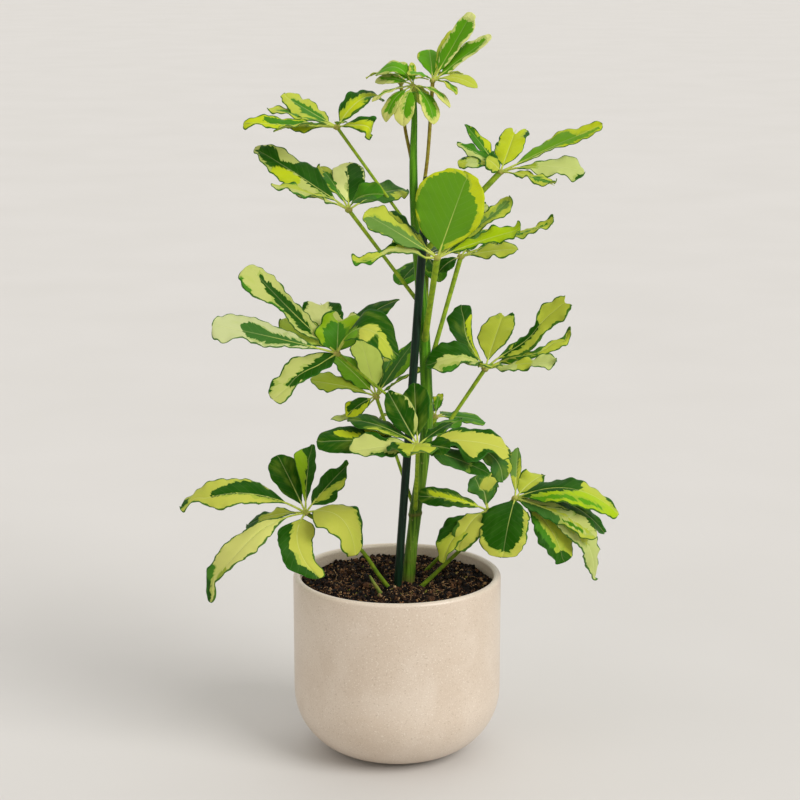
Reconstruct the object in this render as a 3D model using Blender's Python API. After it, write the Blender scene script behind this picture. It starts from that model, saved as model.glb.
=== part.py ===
"""A variegated dwarf umbrella tree on a support cane, in a cream glazed pot.

Metres, +Z up. The origin is the centre of the pot's foot. +X is the plant's right side, seen from its
front, and +Y its back. Sizes below are in millimetres and become metres where they are used.
"""

import math
from typing import NamedTuple

import bmesh
import bpy
from mathutils import Matrix, Vector, noise

MM = 0.001
GAP = 0.3

# Pot
POT_RADIUS = 70.0
POT_HEIGHT = 124.0
POT_CORNER = 44.0
POT_WALL = 5.0
POT_FLOOR = 8.0
POT_SIDES = 32

# Soil
SOIL_LEVEL = 115.5
SOIL_MOUND = 1.5
SOIL_CLOD = 2.0
SOIL_GRAIN = 11.0
SOIL_RINGS = (10.0, 22.0, 34.0, 46.0, 57.0)
SOIL_SIDES = 20

# Cane, from its buried end to its top
CANE_RADIUS = 2.75
CANE_FOOT = (-4.5, -8.5, 48.0)
CANE_TOP = (19.8, -8.5, 392.5)

# Trunk: x, y, z and radius, from its buried end to its tip. The leaf scar is the thick ring.
TRUNK = (
    (5.5, 0.0, 78, 4.2),
    (7.4, 0.0, 114, 4.1),
    (9.6, 0.0, 141, 4.1),
    (11.8, 0.0, 160, 4.2),
    (12.2, 0.0, 165, 5.0),
    (12.7, 0.0, 170, 4.2),
    (15.4, 0.0, 186, 4.1),
    (18.0, 0.0, 206, 4.0),
    (19.9, 0.0, 230, 4.0),
    (19.3, 0.0, 257, 3.9),
    (17.8, 0.0, 287, 3.8),
    (14.9, 0.0, 325, 3.4),
    (11.6, 0.0, 365, 2.8),
    (10.6, 0.0, 400, 2.6),
    (11.3, 0.0, 430, 1.9),
    (10.8, -2.0, 446, 1.6),
)

# Dry stalk end that sticks out of the soil: x, y, z and radius
STALK = (
    (-8.5, -24.0, 108, 1.6),
    (-11.0, -25.0, 117, 1.5),
    (-17.5, -26.0, 127, 1.2),
)

# Leaflets
BLADE_THICK = 0.8
STALK_THICK = 1.6
STALK_SHARE = 0.15
BLADE_ROWS = (0.0, 0.15, 0.27, 0.42, 0.57, 0.72, 0.87, 1.0)
SHORT_BLADE_ROWS = (0.0, 0.15, 0.36, 0.58, 0.8, 1.0)
SHORT_REACH = 36.0
TIP_WIDTH = 1.6
HUB_RADIUS = 2.6
SMALL_HUB_RADIUS = 2.1
ROOT_DEPTH = 20.0


class Leaflet(NamedTuple):
    """One blade of a compound leaf, from the hub where they meet to its tip.

    bearing: compass direction in degrees: 0 is right, 90 back, 180 left and 270 front.
    rise: how far the straight line from hub to tip climbs, in degrees.
    reach: the length of that line. width: the widest part of the blade.
    arch: how high the midrib bows over the line, as a share of reach. peak: where along the line.
    face: how far the upper side leans to the right and to the back, against 1 straight up.
    twist: how far the blade turns about its midrib by its tip, in degrees.
    fold: how far each half is folded up from flat, in degrees. wave: height of the margin's waves.
    sweep: how far the midrib bows to its own right, as a share of reach.
    """

    bearing: float
    rise: float
    reach: float
    width: float
    arch: float = 0.04
    face: tuple = (0.0, -0.3)
    twist: float = 0.0
    fold: float = 6.0
    wave: float = 1.6
    peak: float = 0.5
    sweep: float = 0.0


class Leaf(NamedTuple):
    """A compound leaf. Its foot is a height on the trunk, or the x and y of a place in the soil."""

    foot: object
    hub: tuple
    radius: float
    leaflets: tuple
    bow: tuple = (0.0, 0.0, 0.0)


LEAVES = {
    "leaf_crown": Leaf(450, (10.6, -4, 450), 1.3, (
        Leaflet(245, -50, 30, 13, 0.14, (0, 0), wave=0.6),
        Leaflet(212, -42, 31, 11, 0.14, (0, -0.1), wave=0.6),
        Leaflet(308, -47, 30, 13, 0.16, (0, 0), wave=0.6),
        Leaflet(195, -18, 29, 10, 0.1, (0, 0), wave=0.6),
        Leaflet(160, 2, 25, 10, 0.2, (0, 0), wave=0.6),
        Leaflet(168, 24, 31, 15, 0.22, (0, -0.3), wave=0.8),
        Leaflet(75, -30, 28, 12, 0.15, (0, 0), wave=0.6),
        Leaflet(54, -41, 23, 7, 0.1, (0, 0), wave=0.5),
        Leaflet(100, 68, 16, 5, 0.05, (0, 0), wave=0.3),
    )),
    "leaf_crown_right": Leaf(354, (23, 0, 453), 1.2, (
        Leaflet(15, 59, 50, 18, 0.0, (0, -0.4), wave=0.8),
        Leaflet(350, 37, 46, 15, 0.0, (0, -0.5), wave=0.8),
        Leaflet(94, 34, 33, 17, 0.04, (0, 0), wave=0.8),
        Leaflet(338, -6, 30, 11, 0.14, (0, -0.3), wave=0.8),
        Leaflet(308, -16, 25, 9, 0.15, (0.3, 0), wave=0.6),
        Leaflet(60, 50, 40, 9, 0.03, (0, -0.3), wave=0.8),
        Leaflet(222, 14, 20, 11, 0.12, (0, 0.1), wave=0.6),
        Leaflet(50, 5, 30, 12, 0.12, (0, 0), wave=0.8),
    ), (2.0, 1.5, 0)),
    "leaf_crown_left": Leaf(396, (2.5, 9.5, 451), 1.1, (
        Leaflet(176, 8, 23, 8, 0.22, (0, 0.1), wave=0.6),
        Leaflet(140, 14, 21, 10, 0.12, (0, 0), wave=0.6),
        Leaflet(105, 8, 25, 12, 0.12, (0, 0), wave=0.6),
        Leaflet(65, 8, 25, 11, 0.12, (0, 0), wave=0.6),
        Leaflet(25, 5, 20, 9, 0.12, (0, 0), wave=0.6),
    ), (-1.5, 1.0, 0)),
    "leaf_high_left": Leaf(352, (-38.5, -5, 424), 1.5, (
        Leaflet(190, 4, 61, 15, 0.0, (0, -0.3), twist=-20),
        Leaflet(140, 21, 51, 20, 0.0, (0, -0.3)),
        Leaflet(158, 10, 56, 15, 0.03, (0, -0.1)),
        Leaflet(212, 0, 46, 17, 0.08, (0, 0.2)),
        Leaflet(48, 18, 40, 17, 0.2, (0, -0.4)),
        Leaflet(332, 2, 30, 15, 0.28, (0, -0.4), peak=0.75),
        Leaflet(285, 15, 18, 8, 0.1, (0, 0), wave=0.6),
    )),
    "leaf_left": Leaf(306, (-31, -12, 371.5), 1.6, (
        Leaflet(169, 32, 73, 26, 0.02, (0, -0.65)),
        Leaflet(206, 20, 57, 20, 0.04, (0, -0.2), wave=2.4),
        Leaflet(93, 36, 45, 25, 0.02, (0, 0)),
        Leaflet(120, 32, 46, 17, 0.04, (0, 0.1)),
        Leaflet(312, 24, 34, 20, 0.2, (0, -0.2), fold=25),
        Leaflet(48, 8, 46, 16, 0.1, (0, -0.4)),
    )),
    "leaf_high_right": Leaf(338, (67, 0, 394.5), 1.8, (
        Leaflet(356, 26, 72, 20, 0.0, (0, -0.4)),
        Leaflet(74, 29, 50, 22, 0.0, (0, 0)),
        Leaflet(346, 2, 55, 20, 0.09, (0, -0.6)),
        Leaflet(318, -6, 48, 15, 0.05, (0, 0.2)),
        Leaflet(138, 44, 42, 14, 0.03, (0, -0.4)),
        Leaflet(168, 30, 37, 11, 0.06, (0, -0.4)),
        Leaflet(206, 18, 30, 18, 0.08, (0, -0.3)),
        Leaflet(250, 12, 24, 15, 0.1, (0, 0)),
    )),
    "leaf_front": Leaf(282, (25.5, -48, 346), 2.0, (
        Leaflet(20, 76, 60, 44, 0.03, (0, -3), fold=5, wave=0.8),
        Leaflet(174, 27, 52, 22, 0.02, (0, -0.5)),
        Leaflet(192, -1, 54, 17, 0.1, (0, -0.2), twist=-60, peak=0.75),
        Leaflet(26, 33, 62, 18, 0.0, (0, -0.4)),
        Leaflet(354, 20, 57, 20, 0.03, (0, -0.4)),
        Leaflet(46, 33, 55, 17, 0.03, (0, -0.2)),
        Leaflet(150, 32, 55, 20, 0.03, (0, -0.2)),
    )),
    "leaf_right_back": Leaf(258, (42, 12, 337), 1.5, (
        Leaflet(340, 6, 40, 18, 0.04, (0, -0.5)),
        Leaflet(244, -25, 27, 17, 0.12, (0, 0)),
        Leaflet(12, 22, 68, 17, 0.03, (0, -0.2)),
        Leaflet(60, 18, 44, 20, 0.06, (0, 0)),
        Leaflet(108, 14, 42, 20, 0.06, (0, 0)),
    )),
    "leaf_back_high": Leaf(272, (20, 40, 333), 1.5, (
        Leaflet(233, -25, 35, 19, 0.05, (0, -0.2)),
        Leaflet(290, -30, 27, 16, 0.1, (0, 0)),
        Leaflet(148, -5, 50, 22, 0.08, (0, 0)),
        Leaflet(108, 2, 54, 23, 0.08, (0, 0)),
        Leaflet(68, -4, 52, 22, 0.08, (0, 0)),
        Leaflet(34, -2, 44, 20, 0.08, (0, 0)),
    )),
    "leaf_mid_left": Leaf(226, (-38.5, -33, 281.5), 1.7, (
        Leaflet(166, 43, 81, 23, -0.02, (0, -0.4)),
        Leaflet(184, 14, 82, 24, 0.02, (0, -0.8)),
        Leaflet(205, -30, 50, 22, 0.08, (0, -0.4)),
        Leaflet(108, 36, 46, 24, 0.02, (0, 0)),
        Leaflet(52, 42, 38, 25, 0.05, (0, -0.5), fold=18),
        Leaflet(345, 0, 43, 27, 0.56, (0, -0.6)),
        Leaflet(30, 34, 56, 20, 0.12, (0, -0.2)),
        Leaflet(152, 21, 53, 20, 0.03, (0, -0.2)),
    ), (-3, 7, 0)),
    "leaf_mid_left_back": Leaf(166, (-14, 24, 240), 1.7, (
        Leaflet(112, 50, 45, 22, 0.02, (0, -0.2)),
        Leaflet(188, 16, 46, 19, 0.04, (0, -0.5)),
        Leaflet(152, 38, 42, 20, 0.03, (0, -0.3)),
        Leaflet(30, 50, 46, 18, 0.03, (0, -0.4)),
        Leaflet(350, 34, 36, 16, 0.04, (0, 0)),
        Leaflet(186, -30, 26, 14, 0.1, (0, -0.2)),
        Leaflet(75, 25, 46, 20, 0.06, (0, 0)),
    )),
    "leaf_mid_right": Leaf(202, (58.5, 8, 262.5), 2.0, (
        Leaflet(0, 41, 71, 22, 0.0, (0, -0.6)),
        Leaflet(14, 20, 64, 13, 0.02, (0, -0.3), twist=50),
        Leaflet(344, 9, 50, 18, 0.03, (0, -0.4)),
        Leaflet(70, 37, 51, 26, 0.02, (0, 0)),
        Leaflet(128, 57, 47, 22, 0.0, (0, -0.3), sweep=-0.05),
        Leaflet(206, 8, 45, 25, 0.1, (0, -0.9)),
        Leaflet(208, -6, 35, 14, 0.1, (0, -0.2)),
        Leaflet(235, 20, 23, 13, 0.1, (0, 0)),
        Leaflet(278, 14, 28, 16, 0.1, (0, 0)),
    )),
    "leaf_low_front": Leaf(166, (13.5, -56, 226), 2.0, (
        Leaflet(147, 55, 40, 24, 0.02, (0, -0.4)),
        Leaflet(96, 60, 42, 22, 0.02, (0, -0.3)),
        Leaflet(166, 18, 49, 20, 0.08, (0, -0.2)),
        Leaflet(178, 2, 65, 24, 0.04, (0, -0.6)),
        Leaflet(206, -2, 47, 27, 0.06, (0, -0.6)),
        Leaflet(250, 4, 35, 24, 0.1, (0, 0)),
        Leaflet(300, 3, 33, 24, 0.1, (0, 0)),
        Leaflet(2, -4, 60, 24, 0.12, (0, -0.6)),
        Leaflet(44, 16, 40, 18, 0.06, (0, 0)),
        Leaflet(350, -25, 49, 20, 0.03, (0, -0.4)),
        Leaflet(338, -16, 65, 22, 0.16, (0, -0.4), peak=0.7),
    )),
    "leaf_back_low": Leaf(182, (26, 40, 222), 1.5, (
        Leaflet(22, -10, 38, 18, 0.06, (0, 0)),
        Leaflet(80, 30, 24, 7, 0.1, (0, -0.2)),
        Leaflet(60, -14, 50, 22, 0.08, (0, 0)),
        Leaflet(100, -4, 54, 23, 0.08, (0, 0)),
        Leaflet(142, -8, 48, 20, 0.08, (0, 0)),
    )),
    "leaf_base_left": Leaf((-3.5, -17), (-60, -28, 173.5), 2.0, (
        Leaflet(184, 2, 82, 24, 0.22, (0, -0.6), peak=0.55),
        Leaflet(200, -42, 85, 20, 0.26, (0, -0.5), peak=0.42),
        Leaflet(287, -47, 48, 29, 0.1, (0, 0), sweep=0.28),
        Leaflet(336, -34, 44, 30, 0.3, (0, -0.3)),
        Leaflet(130, 48, 45, 23, 0.02, (0, -0.4)),
        Leaflet(76, 60, 46, 17, 0.02, (1.0, -0.2)),
        Leaflet(34, 40, 45, 20, 0.04, (0, -0.4)),
        Leaflet(162, -16, 47, 18, 0.08, (0, -0.3)),
    ), (4, 0, 6)),
    "leaf_base_right": Leaf((15.2, -9), (79, -2, 176), 2.1, (
        Leaflet(357, -8, 70, 22, 0.22, (0, -0.4)),
        Leaflet(337, -15, 61, 22, 0.1, (0, -0.5)),
        Leaflet(4, -46, 79, 20, 0.3, (-0.3, -0.6), peak=0.45),
        Leaflet(320, -42, 55, 26, 0.12, (0, -0.2), sweep=-0.06),
        Leaflet(256, -35, 50, 31, 0.08, (0, 0)),
        Leaflet(83, 53, 37, 11, 0.03, (0, -0.2)),
        Leaflet(52, 16, 34, 18, 0.06, (0, -0.2)),
        Leaflet(22, -26, 76, 18, 0.2, (0, 0), peak=0.4),
    ), (0, 0, 0)),
    "leaf_base_right_back": Leaf((18.5, 25), (61, 2, 166.5), 1.8, (
        Leaflet(197, 10, 48, 18, 0.08, (0, -0.6)),
        Leaflet(217, -37, 49, 20, 0.2, (0, -0.3)),
        Leaflet(225, -32, 33, 19, 0.2, (0, -0.2)),
        Leaflet(238, 42, 34, 18, 0.05, (0, 0.5)),
        Leaflet(92, 24, 38, 18, 0.06, (0, 0)),
        Leaflet(45, -18, 42, 18, 0.08, (0, 0)),
    ), (0, 4, 0)),
}


def clear_scene():
    for obj in list(bpy.data.objects):
        bpy.data.objects.remove(obj)


def material(name, colour, roughness):
    """A plain Principled finish with no metal in it."""
    finish = bpy.data.materials.new(name)
    finish.use_nodes = True
    shader = finish.node_tree.nodes["Principled BSDF"]
    shader.inputs["Base Color"].default_value = (*colour, 1)
    shader.inputs["Roughness"].default_value = roughness
    shader.inputs["Metallic"].default_value = 0
    return finish


def new_object(name, mesh):
    obj = bpy.data.objects.new(name, mesh)
    bpy.context.scene.collection.objects.link(obj)
    return obj


def mesh_from(bm, name):
    """The finished mesh of a bmesh given in millimetres, with points that coincide made one."""
    bmesh.ops.remove_doubles(bm, verts=bm.verts, dist=0.001)
    bmesh.ops.recalc_face_normals(bm, faces=bm.faces)
    bmesh.ops.scale(bm, vec=(MM, MM, MM), verts=bm.verts)
    mesh = bpy.data.meshes.new(name)
    bm.to_mesh(mesh)
    bm.free()
    return mesh


def smooth_path(points, steps):
    """Points on a smooth curve through the given ones, with steps between each two."""
    knots = [Vector(p) for p in points]
    knots = [2 * knots[0] - knots[1], *knots, 2 * knots[-1] - knots[-2]]
    path = []
    for a, b, c, d in zip(knots, knots[1:], knots[2:], knots[3:]):
        for step in range(steps):
            t = step / steps
            path.append(
                b
                + (c - a) * (t / 2)
                + (2 * a - 5 * b + 4 * c - d) * (t * t / 2)
                + (3 * b - a - 3 * c + d) * (t**3 / 2)
            )
    return [*path, knots[-2]]


def tube(name, path, sides):
    """A closed tube along points of x, y, z and radius."""
    bm = bmesh.new()
    rings = []
    side = Vector((1, 0, 0))
    for i, point in enumerate(path):
        ahead = path[min(i + 1, len(path) - 1)].to_3d() - path[max(i - 1, 0)].to_3d()
        ahead.normalize()
        side = (side - ahead * side.dot(ahead)).normalized()
        other = ahead.cross(side)
        ring = []
        for k in range(sides):
            angle = math.tau * k / sides
            out = side * math.cos(angle) + other * math.sin(angle)
            ring.append(bm.verts.new(point.to_3d() + out * point[3]))
        rings.append(ring)
    for low, high in zip(rings, rings[1:]):
        for k in range(sides):
            bm.faces.new((low[k - 1], low[k], high[k], high[k - 1]))
    bm.faces.new(rings[0][::-1])
    bm.faces.new(rings[-1])
    return new_object(name, mesh_from(bm, name))


def arc(centre, radius, start, end, steps):
    """Points of a profile along an arc, with its angles in degrees from +X towards +Z."""
    angles = [math.radians(start + (end - start) * i / steps) for i in range(steps + 1)]
    return [(centre[0] + radius * math.cos(a), centre[1] + radius * math.sin(a)) for a in angles]


def turned(name, profile, sides, crown=None):
    """A solid turned about Z from a profile of radii and heights, closed flat at both ends."""
    bm = bmesh.new()
    line = [bm.verts.new((radius, 0, height)) for radius, height in profile]
    edges = [bm.edges.new(pair) for pair in zip(line, line[1:])]
    bmesh.ops.spin(
        bm, geom=line + edges, axis=(0, 0, 1), cent=(0, 0, 0), angle=math.tau, steps=sides
    )
    bmesh.ops.remove_doubles(bm, verts=bm.verts, dist=0.001)
    bmesh.ops.holes_fill(bm, edges=[e for e in bm.edges if e.is_boundary], sides=0)
    if crown:
        for vert in bm.verts:
            vert.co.z += crown(vert.co)
    return new_object(name, mesh_from(bm, name))


def bowl(radius, corner, floor, top):
    """The profile of a round-cornered vessel's side, from its flat foot up to its top."""
    curve = arc((radius - corner, floor + corner), corner, -90, 0, 5)
    return [*curve, (radius, top)]


def keep_largest_shell(mesh):
    """Fill any small hollow that a join sealed, and drop any scrap that it cut loose."""
    bm = bmesh.new()
    bm.from_mesh(mesh)
    waiting = set(bm.verts)
    shells = []
    while waiting:
        shell, edge = set(), {waiting.pop()}
        while edge:
            shell |= edge
            edge = {e.other_vert(vert) for vert in edge for e in vert.link_edges} - shell
        waiting -= shell
        shells.append(shell)
    shells.sort(key=len)
    for shell in shells[:-1]:
        bmesh.ops.delete(bm, geom=list(shell), context="VERTS")
    bm.to_mesh(mesh)
    bm.free()


def combine(obj, operation, others, keep=False):
    """Apply one Boolean of the object with a collection of others, which then go."""
    group = bpy.data.collections.new(obj.name + "_others")
    bpy.context.scene.collection.children.link(group)
    for other in others:
        group.objects.link(other)
    boolean = obj.modifiers.new("join", "BOOLEAN")
    boolean.operation = operation
    boolean.operand_type = "COLLECTION"
    boolean.collection = group
    bpy.context.view_layer.objects.active = obj
    bpy.ops.object.modifier_apply(modifier=boolean.name)
    keep_largest_shell(obj.data)
    bpy.data.collections.remove(group)
    if not keep:
        for other in others:
            bpy.data.objects.remove(other)


def blade_half(v):
    """Half the blade's width as a share of its widest, from its base at 0 to its tip at 1."""
    widest = 0.62
    low = 1.05
    high = low * (1 - widest) / widest
    top = widest**low * (1 - widest) ** high
    return (v**low * (1 - v) ** high) / top


def margin_wave(v, side, seed):
    """How far the margin waves up or down at v along the blade, from -1 to 1."""
    phase = seed * 1.7 + side * 1.1
    return math.sin(v * 15.0 + phase) * 0.65 + math.sin(v * 8.5 + phase * 2.3) * 0.35


class Midrib:
    """The curve that a leaflet's blade hangs on, with its directions at each point."""

    def __init__(self, leaflet, hub):
        bearing = math.radians(leaflet.bearing)
        rise = math.radians(leaflet.rise)
        level = math.cos(rise)
        line = Vector((level * math.cos(bearing), level * math.sin(bearing), math.sin(rise)))
        up = Vector((*leaflet.face, 1))
        up = (up - line * up.dot(line)).normalized()
        self.right = line.cross(up)
        self.start = Vector(hub)
        self.end = self.start + line * leaflet.reach
        self.bend = self.start + line * (leaflet.reach * leaflet.peak)
        self.bend += up * (2 * leaflet.arch * leaflet.reach)
        self.bend += self.right * (2 * leaflet.sweep * leaflet.reach)
        self.twist = math.radians(leaflet.twist)

    def frame(self, s):
        """Place, sideways direction and upward direction at s along the rib, from 0 to 1."""
        place = self.start * (1 - s) ** 2 + self.bend * (2 * s * (1 - s)) + self.end * s**2
        ahead = (self.bend - self.start) * (1 - s) + (self.end - self.bend) * s
        ahead.normalize()
        turn = Matrix.Rotation(self.twist * s, 3, ahead)
        side = turn @ self.right
        return place, side, side.cross(ahead)


def leaflet_solid(name, leaflet, hub, seed):
    """A closed blade of even thickness on a short stalk, its two faces split alike."""
    rib = Midrib(leaflet, hub)
    fold = math.radians(leaflet.fold)
    bm = bmesh.new()
    tops, bottoms = [], []
    rows = SHORT_BLADE_ROWS if leaflet.reach < SHORT_REACH else BLADE_ROWS
    for s in rows:
        v = max(0.0, (s - STALK_SHARE) / (1 - STALK_SHARE))
        half = max(blade_half(v) * leaflet.width, TIP_WIDTH) / 2
        in_blade = min(1.0, v * 4)
        thick = STALK_THICK + (BLADE_THICK - STALK_THICK) * in_blade
        place, side, up = rib.frame(s)
        top, bottom = [], []
        for edge in (-1, 0, 1):
            lift = abs(edge) * half * math.sin(fold) * in_blade
            lift += abs(edge) * in_blade * leaflet.wave * margin_wave(v, edge, seed)
            point = place + side * (edge * half * math.cos(fold * in_blade)) + up * lift
            top.append(bm.verts.new(point + up * (thick / 2)))
            bottom.append(bm.verts.new(point - up * (thick / 2)))
        tops.append(top)
        bottoms.append(bottom)
    for face in (tops, bottoms):
        for near, far in zip(face, face[1:]):
            bm.faces.new((near[0], near[1], far[0]))
            bm.faces.new((near[1], far[1], far[0]))
            bm.faces.new((near[1], near[2], far[2]))
            bm.faces.new((near[1], far[2], far[1]))
    for edge in (0, 2):
        for i in range(len(rows) - 1):
            corners = (tops[i][edge], tops[i + 1][edge], bottoms[i + 1][edge], bottoms[i][edge])
            bm.faces.new(corners)
    for i in (0, -1):
        bm.faces.new((*tops[i], *bottoms[i][::-1]))
    return new_object(name, mesh_from(bm, name))


def trunk_at(height):
    """The trunk's centre at a height."""
    for low, high in zip(TRUNK, TRUNK[1:]):
        if height <= high[2]:
            share = (height - low[2]) / (high[2] - low[2])
            return Vector(low[:3]).lerp(Vector(high[:3]), share)
    return Vector(TRUNK[-1][:3])


def petiole_path(leaf):
    """The leaf stalk's centre line and radius, from its foot to just inside the hub."""
    rooted = isinstance(leaf.foot, tuple)
    foot = Vector((*leaf.foot, SOIL_LEVEL)) if rooted else trunk_at(leaf.foot)
    hub = Vector(leaf.hub)
    middle = foot.lerp(hub, 0.5) + Vector(leaf.bow)
    radius = leaf.radius
    points = [
        (*foot, radius * 1.5),
        (*foot.lerp(middle, 0.35), radius * 1.15),
        (*middle, radius),
        (*hub, radius * 1.1),
    ]
    path = smooth_path(points, 2)
    if rooted:
        path.insert(0, path[0] - Vector((0, 0, ROOT_DEPTH, 0)))
    return path


def compound_leaf(name, leaf, number, trunk_room):
    """Stalk, hub and all leaflets of one leaf as one solid, seated on the trunk."""
    small = name.startswith("leaf_crown")
    base = hub_ball(name, leaf.hub, SMALL_HUB_RADIUS if small else HUB_RADIUS)
    parts = []
    if name != "leaf_crown":
        parts.append(tube(name + "_stalk", petiole_path(leaf), 5))
    for i, leaflet in enumerate(leaf.leaflets):
        parts.append(leaflet_solid(f"{name}_{i}", leaflet, leaf.hub, number * 3 + i))
    combine(base, "UNION", parts)
    if not isinstance(leaf.foot, tuple):
        combine(base, "DIFFERENCE", [trunk_room], keep=True)
    return base


def hub_ball(name, centre, radius):
    bm = bmesh.new()
    bmesh.ops.create_uvsphere(bm, u_segments=5, v_segments=3, radius=radius)
    bmesh.ops.translate(bm, vec=centre, verts=bm.verts)
    return new_object(name, mesh_from(bm, name))


def make_pot():
    """A straight-sided pot with a big round corner at its foot and a full round lip."""
    lip = POT_WALL / 2
    outer = bowl(POT_RADIUS, POT_CORNER, 0, POT_HEIGHT - lip)
    rim = arc((POT_RADIUS - lip, POT_HEIGHT - lip), lip, 0, 180, 5)
    inner = bowl(POT_RADIUS - POT_WALL, POT_CORNER - POT_WALL, POT_FLOOR, POT_HEIGHT - lip)
    return turned("pot", [*outer[:-1], *rim, *inner[-2::-1]], POT_SIDES)


def soil_crown(point):
    """How far the soil's surface stands above or below its level."""
    if point.z < SOIL_LEVEL - 1:
        return 0.0
    out = math.hypot(point.x, point.y) / (POT_RADIUS - POT_WALL)
    clods = noise.noise(Vector((point.x, point.y, 0)) / SOIL_GRAIN) * SOIL_CLOD
    return SOIL_MOUND * (1 - out * out) + clods


def make_soil(stems):
    """Soil that fills the pot, with a plain hole for each stem."""
    room = POT_WALL + GAP
    side = bowl(POT_RADIUS - room, POT_CORNER - room, POT_FLOOR + GAP, SOIL_LEVEL)
    surface = [(radius, SOIL_LEVEL) for radius in reversed(SOIL_RINGS)]
    soil = turned("soil", [*side, *surface], SOIL_SIDES, soil_crown)
    combine(soil, "DIFFERENCE", stems)
    return soil


def widened(path, by):
    """The same path with each radius larger."""
    return [Vector((*point[:3], point[3] + by)) for point in path]


def lowered(path, by):
    """The same path with its first point further down, so that a hole is deeper than its stem."""
    first = path[0].copy()
    first.z -= by
    return [first, *path[1:]]


def below(path, height):
    """The part of a path up to its first point over a height."""
    last = next(i for i, point in enumerate(path) if point.z > height)
    return path[: last + 1]


def hole(path):
    """The cutter for a stem's hole in the soil."""
    stem = below(widened(lowered(path, GAP), GAP), SOIL_LEVEL + 5)
    return tube("hole", stem, 10)


FINISHES = {
    "pot": ((0.72, 0.62, 0.50), 0.35),
    "soil": ((0.035, 0.02, 0.012), 0.95),
    "cane": ((0.012, 0.045, 0.04), 0.45),
    "trunk": ((0.13, 0.2, 0.04), 0.55),
    "dry_stalk": ((0.25, 0.28, 0.07), 0.7),
    "crown": ((0.42, 0.55, 0.13), 0.35),
    "leaf": ((0.36, 0.5, 0.07), 0.4),
}


def finish_for(name):
    if name.startswith("leaf_crown"):
        return "crown"
    return "leaf" if name.startswith("leaf") else name


def main():
    clear_scene()
    trunk_path = smooth_path(TRUNK, 1)
    cane_path = [Vector((*CANE_FOOT, CANE_RADIUS)), Vector((*CANE_TOP, CANE_RADIUS))]
    stalk_path = smooth_path(STALK, 2)

    made = [make_pot()]
    made.append(tube("trunk", trunk_path, 10))
    made.append(tube("cane", cane_path, 12))
    made.append(tube("dry_stalk", stalk_path, 6))
    stems = [trunk_path, cane_path, stalk_path]
    stems += [petiole_path(leaf) for leaf in LEAVES.values() if isinstance(leaf.foot, tuple)]
    made.append(make_soil([hole(stem) for stem in stems]))

    trunk_room = tube("trunk_room", widened(trunk_path, GAP), 10)
    for number, (name, leaf) in enumerate(LEAVES.items()):
        made.append(compound_leaf(name, leaf, number, trunk_room))
    bpy.data.objects.remove(trunk_room)

    finishes = {name: material(name, *look) for name, look in FINISHES.items()}
    for obj in made:
        obj.data.materials.clear()
        obj.data.materials.append(finishes[finish_for(obj.name)])
        obj.data.shade_smooth()
        obj.data.set_sharp_from_angle(angle=math.radians(40))


main()
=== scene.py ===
"""The looks of a variegated dwarf umbrella tree in a cream glazed pot, built round its fixed frame.

Metres, +Z up, in the frame's own axes. Sizes of the plant are in millimetres where they are listed and
become metres where they are used.
"""

import math
from functools import partial
from typing import NamedTuple

import bpy
import numpy as np
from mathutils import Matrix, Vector, noise


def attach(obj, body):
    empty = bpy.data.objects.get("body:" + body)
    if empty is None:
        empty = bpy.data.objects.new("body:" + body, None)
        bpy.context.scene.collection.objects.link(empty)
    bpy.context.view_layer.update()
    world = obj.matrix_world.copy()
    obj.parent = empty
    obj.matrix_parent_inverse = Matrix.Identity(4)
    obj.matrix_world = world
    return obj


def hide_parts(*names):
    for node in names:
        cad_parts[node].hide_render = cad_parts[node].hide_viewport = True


bl_info = {
    "name": "Umbrella Plant Maker",
    "version": (1, 0, 0),
    "blender": (4, 5, 0),
    "location": "View3D > Sidebar > Plant",
    "description": "Grows a variegated umbrella plant in a glazed pot round its frame",
    "category": "Object",
}

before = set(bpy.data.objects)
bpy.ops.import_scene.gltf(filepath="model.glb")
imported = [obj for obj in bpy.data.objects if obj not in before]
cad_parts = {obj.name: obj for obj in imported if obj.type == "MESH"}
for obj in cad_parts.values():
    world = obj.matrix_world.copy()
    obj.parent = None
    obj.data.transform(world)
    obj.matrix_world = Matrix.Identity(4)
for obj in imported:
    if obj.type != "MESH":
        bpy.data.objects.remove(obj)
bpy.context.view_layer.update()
MM = 0.001

# Pot
POT_RADIUS = 70.0
POT_HEIGHT = 124.0
POT_CORNER = 44.0
POT_WALL = 5.0
POT_FLOOR = 8.0
POT_SIDES = 160

# Soil. Its lumps each have a size, a height and a level in the noise that shapes them.
SOIL_LEVEL = 115.5
SOIL_MOUND = 1.5
SOIL_LUMPS = ((11.0, 2.0, 0), (3.4, 1.2, 7), (1.5, 0.6, 19))
SOIL_GAP = 0.3
SOIL_SIDES = 128
SOIL_RINGS = 44
# The soil's body under the crumbs: partly the peat's own dark, partly painted shade, kept near black so the
# gaps between crumbs read as shadowed pockets.
SOIL_TONE_AND_GAP_SHADE = 0.1
COARSE_CRUMBS = 900
COARSE_SIZE = 1.6
COARSE_TONE = 0.6
CRUMB_SPREAD = 0.35
CRUMB_STRETCH = (0.6, 1.3)
CRUMB_DENT = 0.28
CRUMB_LIFT = (-0.1, 0.9)
CRUMB_TONES = (0.7, 1.1)
FIBRE_TONE = 0.92
FIBRE_RADIUS = 0.22

# Cane, from its buried end to its top
CANE_RADIUS = 2.75
CANE_ROUND = 1.4
CANE_FOOT = (-4.5, -8.5, 48.0)
CANE_TOP = (19.8, -8.5, 392.5)

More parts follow.
